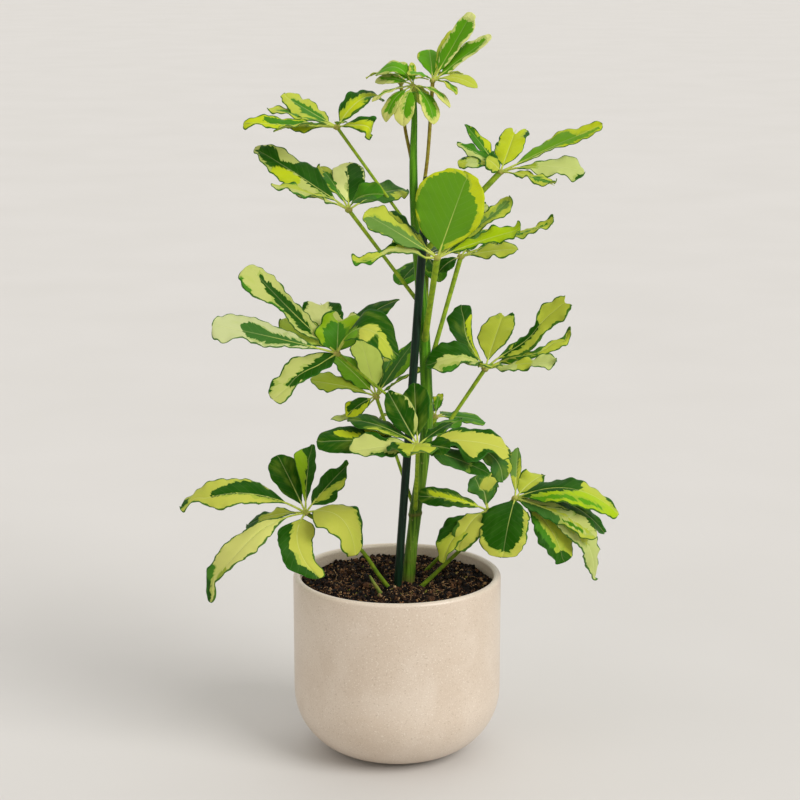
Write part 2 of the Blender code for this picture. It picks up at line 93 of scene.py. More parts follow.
# Trunk: x, y, z and radius, from its buried end to its tip
TRUNK = (
    (5.5, 0.0, 78, 4.2), (7.4, 0.0, 114, 4.1), (9.6, 0.0, 141, 4.1), (11.8, 0.0, 160, 4.2),
    (12.2, 0.0, 165, 4.4), (12.7, 0.0, 170, 4.2), (15.4, 0.0, 186, 4.1), (18.0, 0.0, 206, 4.0),
    (19.9, 0.0, 230, 4.0), (19.3, 0.0, 257, 3.9), (17.8, 0.0, 287, 3.8), (14.9, 0.0, 325, 3.4),
    (11.6, 0.0, 365, 2.8), (10.6, 0.0, 400, 2.6), (11.3, 0.0, 430, 1.9), (10.8, -2.0, 446, 1.6),
)

# Leaf scars on the trunk: the height of each and how marked it is
SCARS = ((165.0, 1.0), (133.0, 0.45), (213.0, 0.45), (246.0, 0.45))
SCAR_WIDTH = 1.3
SCAR_SWELL = 0.1
SCAR_CORK = 0.6
BARK_RIDGE = 0.07
FOOT_CORK = 0.8
FOOT_CORK_HEIGHT = 9

# Heights on the trunk between which its bark goes from old to young
BARK_AGES = (170, 290)

# Dry stalk end that sticks out of the soil: x, y, z and radius
STALK = (
    (-8.5, -24.0, 108, 1.5), (-11.0, -25.0, 117, 1.4), (-15.0, -26.0, 124, 1.2), (-18.0, -26.5, 130, 0.6),
)

# Floor, in metres: flat out to this far, then rising gently over the sweep's length
FLOOR_SIZE = 70.0
FLOOR_CELLS = 140
FLOOR_FLAT = 13.0
FLOOR_SWEEP = 15.0
FLOOR_RISE = 0.0245
FLOOR_TONES = ("cbc9c6", "d2d0ce")
SKY_TONE = "f1efeb"
SKY_POWER = 0.75

# Studio lights: name, place, spread in degrees, power and colour
LIGHTS = (
    ("key", (1.6, -1.3, 1.5), 34, 2.05, (1, 0.98, 0.95)),
    ("fill", (-1.6, -1.3, 1.0), 80, 0.3, (1, 0.86, 0.7)),
    ("back", (0.4, 1.4, 1.6), 60, 0.4, (1, 1, 1)),
)
CAMERA_PLACE = (0.002, -1.3844, 0.561)
CAMERA_TILT = 77.07
CAMERA_LENS = 96.44
CAMERA_SENSOR = 36

# Leaflets
BLADE_THICK = 0.45
STALK_SHARE = 0.15
BLADE_ACROSS = 22
BLADE_ALONG = 46
CROWD_ACROSS = 1.2
CROWD_ALONG = 1.4
WIDEST = 0.62
KNOTS = (0.12, 0.28, 0.44, 0.6, 0.74, 0.86, 0.95)
MOST_LEAN = 0.35
TIP_WIDTH = 0.7
TIP_START = 0.84
NOTCH_SHARE = 0.62
BLUNT_CAP = 0.72
GROOVE_DEPTH = 0.3
GROOVE_WIDTH = 0.9
LOBE_LIFT = 0.3
LOBE_LIMIT = 3
HALVES_BLEND = 0.16
RIB_RADIUS = 0.85
RIB_TAPER = 0.78
RIB_END = 0.97
HUB_RADIUS = 2.5
SMALL_HUB_RADIUS = 2.0
HUB_DENT = 0.16
HUB_FLATNESS = 0.8
ROOT_DEPTH = 20.0

# Tones of the ribs, the hubs and the leaf stalks, two for each, as the eye sees them
RIB_TONES = ("c3cd62", "a9b84a")
HUB_TONES = ("b0a45c", "8f9a3c")
STALK_TONES = {"leaf_crown": ("98923a", "86702a"), "leaf_base": ("748a1e", "526e1a")}
OTHER_STALK_TONES = ("96b02c", "74922a")

# Leaf colours as the eye sees them, and a distance that lies past every margin
BEYOND = 20
# Painted light: the brighter lime and the buttery cream below are given to leaflets that sit in shade,
# standing in for light that comes through a leaf; ivory also serves so on one shaded leaflet.
COLOURS = {
    "dark": "1c4c00", "green": "3f7a14", "leaf": "5a8c18", "grass": "66981a", "fresh": "569408",
    "grey": "628638", "moss": "3a6826", "olive": "94a630", "lime": "adb83c", "yellow": "b2c01c",
    "straw": "b4b94a", "cream": "b4bc6a", "pale": "b4c070", "ivory": "d6dc8c", "lit_lime": "c4dc58",
    "milk": "bac28a", "wheat": "c8cb70", "lit_butter": "cfe16c", "apple": "86ac16", "acid": "9cba0a",
}


class Leaflet(NamedTuple):
    """One blade of a compound leaf, from the hub where they meet to its tip.

    bearing: compass direction in degrees: 0 is right, 90 back, 180 left and 270 front.
    rise: how far the straight line from hub to tip climbs, in degrees.
    reach: the length of that line. width: the widest part of the blade.
    field: its main colour, or two colours for its left and right halves. patches: marks of other colours
    on it, each a colour and then rows of how far along the blade, left edge and right edge.
    arch: how high the midrib bows over the line, as a share of reach. peak: where along the line.
    face: how far the upper side leans to the right and to the back, against 1 straight up.
    twist: how far the blade turns about its midrib by its tip, in degrees.
    fold: how far each half is folded up from flat, in degrees. wave: height of the margin's waves.
    sweep: how far the midrib bows to its own right, as a share of reach.
    curl: how far the margins roll down, as a share of half the width. widest: where the blade is widest.
    rim: width of the dark line at the margin. notch: depth of a dent in a blunt tip.
    left and right: how far the margins lie from the midrib at each of KNOTS, for a blade with an outline
    of its own. stem: the share of reach that is the leaflet's own stalk. tip: how far the tip turns up.
    """

    bearing: float
    rise: float
    reach: float
    width: float
    field: str = "lime"
    patches: tuple = ()
    arch: float = 0.04
    face: tuple = (0.0, -0.3)
    twist: float = 0.0
    fold: float = 6.0
    wave: float = 1.6
    peak: float = 0.5
    sweep: float = 0.0
    curl: float = 0.12
    widest: float = WIDEST
    rim: float = 0.5
    left: tuple = ()
    right: tuple = ()
    stem: float = STALK_SHARE
    notch: float = 0.0
    tip: float = 0.0


class Leaf(NamedTuple):
    """A compound leaf. Its foot is a height on the trunk, or the x and y of a place in the soil."""

    foot: object
    hub: tuple
    radius: float
    leaflets: tuple
    bow: tuple = (0.0, 0.0, 0.0)


def right_of(colour, *rows):
    """A patch from a line, of how far along and how far to the right, out to the right margin."""
    return (colour, *[(along, edge, BEYOND) for along, edge in rows])


def left_of(colour, *rows):
    """A patch from the left margin in to a line."""
    return (colour, *[(along, -BEYOND, edge) for along, edge in rows])


def band(colour, start, end):
    """A patch right across the blade."""
    return (colour, (start, -BEYOND, BEYOND), (end, -BEYOND, BEYOND))


DARK_STREAK = (("dark", (0, -2, 2), (0.3, -5, 5), (0.6, -5, 6), (0.8, -1, 1)),)
GREEN_STREAK = (("green", (0, -2, 2), (0.3, -4, 4), (0.6, -5, 5), (0.85, -1, 1)),)
FRESH_STREAK = (("fresh", (0, -1, 1), (0.3, -2, 2), (0.6, -2, 2), (0.8, -0.5, 0.5)),)

# The leaflets of the young leaves at the top have softer waves and no dark line
Shoot = partial(Leaflet, wave=0.6, rim=0)

LEAVES = {}
LEAVES["leaf_crown"] = Leaf(450, (10.6, -4, 450), 1.3, (
    Shoot(250, -50, 31, 14, "wheat", (("fresh", (0.1, -4, 1), (0.4, -6, 0.5), (0.7, -5, 0),
        (0.84, -3, -1)),), 0.2, (0, 0)),
    Shoot(216, -44, 31, 13, "wheat", (("fresh", (0.1, -4, 2), (0.4, -5, 3.5), (0.8, -4, 2)),), 0.18,
        (0, -0.1)),
    Shoot(308, -47, 31, 14, "wheat", (("fresh", (0, -3, 2), (0.4, -5, 4), (0.74, -4, 4), (0.86, -1, 2)),),
        0.16, (0, 0)),
    Shoot(195, -18, 29, 10, "wheat", FRESH_STREAK, 0.1, (0, 0)),
    Shoot(174, 6, 25, 9, "cream", FRESH_STREAK, 0.2, (0, -0.9)),
    Shoot(168, 15, 26, 16, "cream", (("fresh", (0, -5, 5), (0.5, -6.5, 6.5), (0.9, -4, 4)),), 0.4,
        (0, -0.5)),
    Shoot(75, -30, 28, 12, "straw", FRESH_STREAK, 0.15, (0, 0)),
    Shoot(54, -41, 23, 7, "lime", FRESH_STREAK, 0.1, (0, 0), wave=0.5),
    Shoot(100, 68, 16, 5, "straw", FRESH_STREAK, 0.05, (0, 0), wave=0.3),
    Shoot(140, 40, 22, 11, "cream", (("fresh", (0, -5, 5), (0.5, -4, 4), (0.9, -3, 3)),), 0.16, (0, -0.8),
        wave=0.5),
    Shoot(328, -24, 30, 9, "wheat", FRESH_STREAK, 0.16, (0, 0), wave=0.5),
))
LEAVES["leaf_crown_right"] = Leaf(354, (23, 0, 453), 1.2, (
    Shoot(15, 59, 50, 18, "ivory", (("fresh", (-0.2, -4, 4), (0.12, -4, 3), (0.28, -6.3, 4),
        (0.44, -6, 5.5), (0.6, -4.8, 7), (0.76, -4.8, 7.8), (0.87, -4, 6)),), 0.0, (0, -0.4), curl=0.06,
        left=(4, 7, 7, 6, 6, 6, 4.5), right=(3.5, 5, 6.5, 8.5, 9, 7.5, 5)),
    Shoot(352, 38, 47, 15, "ivory", (("fresh", (-0.2, -5, 4), (0.12, -6, 3), (0.28, -9, 2), (0.44, -9, 2),
        (0.6, -8, 1.5), (0.76, -3, 3), (0.88, -1.5, 2)),), 0.0, (0, -0.7), curl=0.06,
        left=(6, 9, 9.5, 9, 6, 4.5, 3), right=(3, 3.5, 4, 4, 4.5, 4.5, 3)),
    Shoot(94, 34, 33, 17, "lime", (("fresh", (-0.2, -8, 8), (0.5, -8, 8), (0.86, -6, 6), (0.95, -2, 2)),),
        0.04, (0, 0), wave=0.5, left=(2, 5, 7, 8.5, 8.5, 7, 4), right=(3, 6, 7, 7, 7, 6, 4)),
    Shoot(338, -6, 31, 13, "lime", (), 0.16, (0, -0.4)),
    Shoot(308, -16, 25, 9, "lime", (("fresh", (0, -2, 2), (0.5, -3, 2), (0.9, -1, 1)),), 0.15, (0.3, 0)),
    Shoot(60, 50, 40, 9, "lime", FRESH_STREAK, 0.03, (0, -0.3), wave=0.8),
    Shoot(222, 14, 22, 12, "lime", (("fresh", (-0.2, -6, 6), (0.5, -5, 5), (0.9, -3, 3)),), 0.12,
        (0, -0.3)),
    Shoot(50, 5, 30, 12, "lime", FRESH_STREAK, 0.12, (0, 0), wave=0.8),
), (2.0, 1.5, 0))
LEAVES["leaf_crown_left"] = Leaf(396, (2.5, 9.5, 451), 1.1, (
    Shoot(176, 8, 23, 8, "lime", FRESH_STREAK, 0.22, (0, 0.1)),
    Shoot(140, 14, 21, 10, "straw", FRESH_STREAK, 0.12, (0, 0)),
    Shoot(105, 8, 25, 12, "straw", FRESH_STREAK, 0.12, (0, 0)),
    Shoot(65, 8, 25, 11, "straw", FRESH_STREAK, 0.12, (0, 0)),
    Shoot(25, 5, 20, 9, "straw", FRESH_STREAK, 0.12, (0, 0)),
), (-1.5, 1.0, 0))
LEAVES["leaf_high_left"] = Leaf(352, (-38.5, -5, 424), 1.0, (
    Leaflet(190, 4, 61, 15, "yellow", (("green", (0.12, 0, 3.5), (0.4, -0.5, 5), (0.6, 0, 5.2),
        (0.74, 2, 4)),), 0.0, (0, -0.5), twist=-20, rim=0.7, tip=-3, left=(3, 6.5, 4, 4.5, 3.5, 2.5, 4.5),
        right=(3, 5, 6.5, 7, 6.5, 4.5, 3.5)),
    Leaflet(140, 21, 51, 20, "lime", (("green", (0.05, -3, 0), (0.28, -5.5, 3), (0.44, -6, 3.5),
        (0.6, -2.5, 3.5), (0.8, 1, 2)),), 0.0, rim=0.6, left=(4, 11, 12, 10, 8.5, 6, 3),
        right=(5, 8.5, 8.5, 10, 10, 10.5, 9)),
    Leaflet(158, 12, 50, 17, "lime", GREEN_STREAK, 0.03, (0, -0.1), rim=0.6),
    Leaflet(212, 0, 46, 17, "lime", GREEN_STREAK, 0.08, (0, 0.2), rim=0.8),
    Leaflet(40, 22, 42, 18, "yellow", (left_of("dark", (-0.2, -3), (0.3, -4.2), (0.6, -3.8), (0.85, -2.5),
        (1.1, -1)), ("green", (0.45, 1, 4), (0.7, 0.5, 5), (0.9, 0, 3))), 0.28, (0, -0.8), rim=1.2,
        stem=0.06, left=(7, 9, 9, 7.5, 6.5, 5.5, 4), right=(4, 6, 6, 4.5, 6, 5, 3)),
    Leaflet(338, -9, 24, 16, "yellow", (left_of("dark", (0.05, -2.5), (0.5, -4), (0.8, -3.5), (0.95, -1)),
        right_of("dark", (0.86, 3), (1.05, 1.5))), 0.42, (0, -1.5), peak=1.3, rim=0.9, stem=0.08,
        left=(4, 6, 7.5, 8, 8, 7.5, 6), right=(2, 3.5, 5, 6, 6.5, 6.5, 5)),
    Leaflet(285, 15, 18, 8, "lime", FRESH_STREAK, 0.1, (0, 0), wave=0.6),
))
LEAVES["leaf_left"] = Leaf(306, (-31, -12, 371.5), 1.2, (
    Leaflet(169, 32, 73, 26, "cream", (("dark", (0.04, 0, 2), (0.12, -1, 7), (0.28, -2, 12.5),
        (0.44, -1, 20), (0.5, 0, 20), (0.56, -1, 7), (0.66, -4, 3), (0.72, -6, 3), (0.78, -7, 7),
        (0.86, -6, 9), (0.97, -2, 6)), left_of("yellow", (0.4, -1), (0.6, -1), (0.71, -3))), 0.02,
        (0, -0.65), rim=0.7, left=(5, 13, 14, 12, 10, 8, 5), right=(6, 12, 14, 12, 12.5, 11, 8)),
    Leaflet(206, 20, 57, 20, "cream lime", (right_of("green", (0, 6), (0.4, 7), (0.8, 8)), left_of("green",
        (0, -6), (0.5, -8), (1, -6))), 0.04, (0, -0.2), wave=2.4, rim=0.9),
    Leaflet(93, 36, 45, 25, "ivory", (("dark", (0, 0, 20), (0.6, 0, 10.5), (0.74, -0.5, 10.3), (0.88, 0, 9),
        (0.97, 2, 7)),), 0.02, (0, 0), wave=0.8, rim=0.4, left=(4, 7, 9, 10, 10, 9, 5),
        right=(5, 9, 11, 11.5, 11.5, 10.5, 7)),
    Leaflet(120, 32, 46, 17, "lime", GREEN_STREAK, 0.04, (0, 0.1)),
    Leaflet(318, 23, 33, 17, "green", (right_of("moss", (0.1, 2), (0.6, 3), (0.9, 2)),), 0.18, (0, -1.0),
        fold=22, curl=0, wave=1.2, rim=0.4),
    Leaflet(36, 12, 47, 20, "moss", (right_of("lime", (0.6, 4), (0.9, 2)),), 0.1, (0, -0.7)),
))
LEAVES["leaf_high_right"] = Leaf(338, (67, 0, 394.5), 1.8, (
    Leaflet(356, 26, 72, 20, "yellow", (("grass", (0.04, -5, 0.3), (0.28, -8, 0.6), (0.44, -10.5, 2.2),
        (0.6, -11, 4), (0.66, -6.5, 4), (0.7, -0.5, 4.8), (0.86, 1.5, 5.6), (0.95, 2, 4)), right_of("pale",
        (0.05, 1.2), (0.44, 2.2), (0.55, 3.8))), 0.0, (0, -0.5), rim=0.5, wave=1.2,
        left=(5, 9, 12, 13.5, 8, 7, 4), right=(1.5, 2.5, 4, 5.5, 7, 7.5, 5)),
    Leaflet(74, 29, 50, 22, "yellow", (right_of("dark", (0.68, 8.4), (0.9, 7.4), (1.1, 6.5)),
        left_of("dark", (0.4, -8.6), (0.7, -8.4), (0.8, -8.8))), 0.0, (0, 0), rim=0.6, wave=1.0,
        left=(4, 8, 9.5, 9, 9, 8.5, 6.5), right=(4, 8, 9.5, 9.5, 9.5, 10, 8.5), notch=6.5),
    Leaflet(346, 2, 55, 20, "pale", (("olive", (-0.1, -9, 9), (0.12, -9, 5), (0.3, -3, 1)), right_of("dark",
        (0.88, 6), (1, 4))), 0.09, (0, -0.6), rim=0.8, stem=0.2, left=(1.5, 3, 6, 11, 12, 11, 6),
        right=(2.5, 7, 10.5, 9, 7.5, 11, 8)),
    Leaflet(318, -6, 46, 12, "lime", (("green", (0.5, -1, 3), (0.7, -2, 3), (0.9, -1, 2)),), 0.05,
        (0, -0.3), rim=0.7, wave=2.2, tip=3),
    Leaflet(138, 44, 42, 14, "yellow", (("green", (-0.1, -2, 1), (0.28, -3, 1.5), (0.5, -5, 2),
        (0.9, -3, 1.5), (1, -2, 1)),), 0.03, (0, -0.4), wave=0.6, rim=0.4, left=(2, 3, 4.5, 5, 4, 2.5, 1.3),
        right=(2, 3.5, 7, 4, 3, 2.2, 1.2)),
    Leaflet(168, 32, 34, 10, "pale", (right_of("green", (0, 0), (0.5, -1), (0.9, 0)),), 0.08, (0, -0.6)),
    Leaflet(188, 13, 29, 15, "lime", (left_of("pale", (0.5, 3), (0.66, 4), (0.78, 2)),
        band("dark", 0.42, 0.47), right_of("dark", (0.8, 3), (0.9, 2))), 0.14, (0, -0.5), rim=1.0, wave=1.6,
        left=(2, 4, 6, 7.5, 7, 7, 5), right=(2, 4, 6.5, 7, 6, 7, 5)),
    Leaflet(215, 40, 15, 15, "lime", (right_of("dark", (0.5, 4), (0.8, 2.5), (1, 1)),), 0.12, (0, -1.2),
        rim=1.2, wave=1.6, left=(3, 5, 6.5, 7, 7, 6, 4), right=(3, 5, 6, 7, 6.5, 6.5, 4)),
))
LEAVES["leaf_front"] = Leaf(282, (25.5, -48, 346), 2.0, (
    Leaflet(10, 70, 57, 44, "yellow", (("leaf", (-0.3, -30, 3), (0.1, -12, 1.5), (0.28, -19.3, 11),
        (0.4, -23.5, 14), (0.59, -25.4, 13.5), (0.74, -23, 10), (0.8, -21, 4), (0.9, -15, 2),
        (0.95, -8, 0)),), 0.03, (0, -3), fold=4, wave=0.7, curl=0.05, rim=0, stem=0.08,
        left=(13, 20.5, 24.6, 26.4, 24.8, 20, 14), right=(7, 13.5, 17.5, 18, 16, 13, 8)),
    Leaflet(174, 31, 54, 22, "lime", (("grey", (0.03, -3, 2), (0.28, -6.5, 4), (0.44, -8, 4),
        (0.6, -8.8, 4), (0.74, -9, 1), (0.86, -8.5, 1.5), (0.95, -5, -2)),), 0.02, (0, -0.6), rim=0.5,
        left=(3, 6.5, 8.5, 9.5, 9.5, 9, 6), right=(4, 8, 9.5, 9.5, 12, 14, 9)),
    Leaflet(192, -1, 56, 17, "lime", (("cream", (-0.2, -9, 8), (0.28, -9, 8.5), (0.44, -9, 7.5),
        (0.56, -9, 7)), right_of("dark", (0.16, 10), (0.3, 10), (0.46, 8.5), (0.52, 8)), left_of("green",
        (0.66, -1), (0.8, -0.5), (0.97, -2))), 0.04, (0, -1.2), rim=0.8, tip=5,
        left=(-2.5, -3, -3.6, -1.5, 3.5, 3, 4), right=(10.5, 12.5, 11, 5.5, 5, 3.2, 5)),
    Leaflet(26, 33, 63, 16, "lime", (("grey", (0, -2, 2), (0.44, -2, 1.5), (0.74, -1, 4), (0.95, -3, 2)),),
        0.0, (0, -0.5), rim=0.6, tip=3, left=(2.5, 4, 5, 5, 5, 6, 6), right=(3, 4.5, 5, 6, 7, 7, 5)),
    Leaflet(354, 20, 57, 20, "acid", (), 0.03, (0, -0.5), rim=0.9, wave=2.4, tip=3,
        left=(4, 7, 8, 8, 7, 7, 7), right=(3, 4, 5, 6, 8, 9, 6)),
    Leaflet(46, 33, 55, 17, "pale", (right_of("dark", (0, 1), (0.5, 2), (0.8, 5)),), 0.03, (0, -0.2)),
    Leaflet(150, 32, 55, 20, "lime", (right_of("dark", (0, 3), (0.5, 5), (1, 6)),), 0.03, (0, -0.2)),
))
LEAVES["leaf_right_back"] = Leaf(258, (42, 12, 337), 1.5, (
    Leaflet(340, 11, 40, 18, "lime", (), 0.04, (0, -0.5), rim=0.8),
    Leaflet(204, -28, 18, 12, "dark", (), 0.14, (0, -0.6), wave=0.8),
    Leaflet(12, 18, 68, 12, "lime", (("green", (0, -1, 2), (0.4, 0, 3), (0.9, -0.5, 1)),), 0.03, (0, -0.2),
        rim=0.5, wave=2.6, tip=4),
    Leaflet(60, 18, 44, 20, "lime", GREEN_STREAK, 0.06, (0, 0)),
    Leaflet(108, 14, 42, 20, "lime", GREEN_STREAK, 0.06, (0, 0)),
))
LEAVES["leaf_back_high"] = Leaf(272, (20, 40, 333), 1.5, (
    Leaflet(233, -25, 35, 19, "green", DARK_STREAK, 0.05, (0, -0.2), wave=0.6, rim=0.3),
    Leaflet(290, -30, 27, 16, "green", DARK_STREAK, 0.1, (0, 0), wave=0.6, rim=0.3),
    Leaflet(148, -5, 50, 22, "lime", DARK_STREAK, 0.08, (0, 0)),
    Leaflet(108, 2, 54, 23, "lime", GREEN_STREAK, 0.08, (0, 0)),
    Leaflet(68, -4, 52, 22, "lime", DARK_STREAK, 0.08, (0, 0)),
    Leaflet(34, -2, 44, 20, "lime", GREEN_STREAK, 0.08, (0, 0)),
))
LEAVES["leaf_mid_left"] = Leaf(226, (-38.5, -33, 281.5), 0.9, (
    Leaflet(166, 43, 81, 23, "cream", (("dark", (0.1, -4, -2), (0.28, -5, 3), (0.44, -5, 4.5),
        (0.62, -4.5, 4.5), (0.74, -3, 2.5), (0.85, 1, 3)), left_of("green", (0.76, -14), (0.86, -13),
        (0.95, -12)), left_of("green", (0.4, -7.5), (0.5, -7), (0.6, -9))), -0.02, (0, -0.4), rim=0.8,
        left=(6, 8, 8, 10, 14.5, 17, 14), right=(6, 8, 8.5, 9.5, 9, 8.5, 8)),
    Leaflet(184, 14, 82, 24, "milk", (("moss", (0.08, -1, 1), (0.28, -4, 2.5), (0.44, -5.5, 3.5),
        (0.6, -5.5, 6), (0.68, -4, 8), (0.74, 2, 5)),), 0.02, (0, -0.8), rim=0.6,
        left=(3, 6, 9, 8, 7, 12.5, 11), right=(3, 7, 10, 12, 13, 13.5, 9)),
    Leaflet(205, -30, 52, 24, "cream", (("dark", (-0.1, -9, 9), (0.1, -9, 6), (0.28, -9, 4), (0.42, -7, 4),
        (0.5, -3.5, 3.5), (0.6, -3, 3), (0.74, -1.5, 1.5)), right_of("dark", (0.84, 7.5), (0.95, 6))), 0.05,
        (0, -0.9), rim=0.9, stem=0.02, left=(5, 6, 5, 4, 5, 7, 6), right=(7, 12, 15, 14, 11, 11, 8)),
    # Painted light: this leaflet sits in shade and gets the paler ivory in place of its own cream, so that it
    # reads as lit.
    Leaflet(108, 36, 47, 26, "ivory", (left_of("dark", (0.82, -11), (1, -9)), right_of("dark", (0.5, 9),
        (0.7, 7), (0.86, 5), (1, 4))), 0.02, (0, 0), rim=0.8, left=(5, 11, 14, 15, 15, 14, 12),
        right=(5, 9, 11, 12, 12.5, 12.5, 11), notch=3.5),
    Leaflet(86, 62, 27, 30, "apple", (("green", (0, -7, 4), (0.2, -9, 5), (0.5, -10, 6), (0.7, -8, 4),
        (0.8, -4, 2)), ("grass", (0.1, 4, 14), (0.6, 5, 14)), ("cream", (0.9, -4, 16), (1.1, -4, 16))),
        0.06, (0, -1.5), fold=20, rim=1.0, wave=2.8, stem=0.05, left=(10, 14, 15.5, 14, 11.5, 9, 6),
        right=(9, 13, 16, 17.5, 17.5, 16.5, 13), notch=5),
    Leaflet(345, 0, 41, 27, "dark", (("grass", (0, -2, 6), (0.2, -2, 9), (0.34, 0, 6)), ("straw",
        (0.36, 0, 4), (0.42, -1, 9), (0.5, -4, 20), (0.6, -6, 8), (0.66, -7, -2)), ("lime", (0.7, -4, 2),
        (0.8, -3, 20), (0.88, 0, 20), (0.94, 3, 8))), 0.56, (0, -0.6), wave=0.7, rim=0.6,
        left=(8, 16, 20, 21, 20, 17, 11), right=(6, 9, 11, 12, 11, 11, 8)),
    Leaflet(30, 34, 56, 20, "dark", (), 0.12, (0, -0.2), widest=0.5, wave=0.5, rim=0.3),
    # Painted light: this leaflet sits in shade and gets a brighter lime than its own, so that it reads as
    # lit.
    Leaflet(151, 24, 46, 21, "lit_lime", (), 0.05, (0, -1.0), rim=0.8),
), (-3, 7, 0))
LEAVES["leaf_mid_left_back"] = Leaf(166, (-14, 24, 240), 1.15, (
    # Painted light: this leaflet sits in shade and gets a brighter cream than its own, so that it reads as
    # lit.
    Leaflet(112, 50, 45, 22, "lit_butter", (), 0.02, (0, -0.2), rim=0.7, left=(3, 6, 8, 8.5, 9.5, 9, 7),
        right=(6, 9, 11, 12.5, 12, 10.5, 6)),
    Leaflet(188, 16, 46, 19, "olive", (), 0.04, (0, -0.5), rim=0.7, left=(2, 3, 4, 6, 9, 8, 4),
        right=(5, 8, 10, 11, 12, 11, 7)),
    Leaflet(152, 38, 42, 20, "grass", (), 0.03, rim=0.6, left=(5, 8, 9.5, 9.5, 7.5, 6, 3),
        right=(5, 8, 10, 10, 9, 8, 5)),
    Leaflet(30, 50, 46, 18, "grass", (("moss", (-0.1, -3, 3), (0.44, -4.5, 5.5), (0.8, -3, 3),
        (1, -1, 1)),), 0.03, (0, -0.4), wave=0.6, rim=0.3, left=(2.5, 5, 5.5, 5.5, 4.5, 3, 1.5),
        right=(3, 6, 9, 9, 7, 4.5, 2)),
    Leaflet(350, 34, 36, 16, "lime", GREEN_STREAK, 0.04, (0, 0)),
    Leaflet(203, -28, 25, 15, "yellow", (("dark", (0.1, -1, 5), (0.5, -2, 6), (0.9, 0, 4)),), 0.12,
        (0, -0.6)),
    Leaflet(75, 25, 46, 20, "lime", GREEN_STREAK, 0.06, (0, 0)),
    Leaflet(191, -24, 34, 7, "pale", (), -0.14, (0, -0.4), rim=0.3, wave=0.8),
))
LEAVES["leaf_mid_right"] = Leaf(202, (58.5, 8, 262.5), 1.3, (
    Leaflet(0, 41, 71, 22, "lime", (("dark", (0.08, 0.4, 3.6), (0.28, 1, 5.6), (0.44, -0.2, 5.2),
        (0.52, -1.6, 3.2), (0.6, -1.6, 1.4)),), 0.0, (0, -0.6), rim=1.3, left=(1, 0.5, 1, 3, 11, 9, 7.5),
        right=(6, 11, 13, 9.5, 9.5, 12, 8.5), notch=2),
    Leaflet(14, 20, 64, 15, "lime", (("green", (0.1, 1, 4), (0.3, 3, 6), (0.5, 6, 8)),), 0.02, (0, -0.6),
        rim=0.9, tip=6, left=(2, 0, -4, -3, 0.5, -2.5, 0), right=(5, 8, 9, 9.5, 9.5, 8.5, 5)),
    Leaflet(344, 9, 50, 18, "pale", (("lime", (0.34, -20, 20), (0.5, -20, 20), (0.58, 0, 20)),), 0.03,
        (0, -0.5), rim=0.8, wave=2.6, tip=3, left=(2, 3, 5, 5, 7, 7.5, 4.5), right=(6, 7, 6, 7, 7, 7, 4.5)),
    Leaflet(70, 37, 51, 26, "lime", (left_of("dark", (0.95, -5), (1.1, -4)), right_of("dark", (0.93, 3.5),
        (1.1, 3))), 0.02, (0, 0), rim=0.7, wave=1.0, left=(4, 9, 12.5, 12.5, 10, 8.5, 5),
        right=(3, 7, 10, 11, 10.5, 9.5, 8), notch=3),
    Leaflet(128, 57, 47, 22, "dark", (("yellow", (-0.2, -1, 20), (0.28, -1, 20), (0.44, -0.8, 20),
        (0.6, 0, 20), (0.72, 2, 20), (0.79, 5, 8)),), 0.0, sweep=-0.05, wave=0.7, rim=0.5,
        left=(4.5, 7, 10, 12, 12, 11, 6), right=(1, 1, 2, 4, 6, 7, 7.5)),
    Leaflet(206, 8, 44, 25, "cream", (right_of("dark", (-0.2, 2), (0.28, 1), (0.6, 2), (0.8, 3), (0.92, -3),
        (1.1, -8)), left_of("green", (0.3, -4.5), (0.5, -7), (0.8, -6))), 0.26, (0, -0.9), rim=0.9,
        left=(3, 4, 5, 9, 11, 9, 4), right=(6, 11, 14, 14, 12, 10, 6)),
    Leaflet(160, 8, 28, 14, "lime", (right_of("dark", (0, 1), (0.6, 2), (1, 0)),), 0.1, (0, -0.2)),
    Leaflet(235, 20, 23, 13, "pale", (), 0.1, (0, 0), rim=0.9),
    Leaflet(278, 14, 28, 16, "lime", FRESH_STREAK, 0.1, (0, 0), rim=0.9),
))
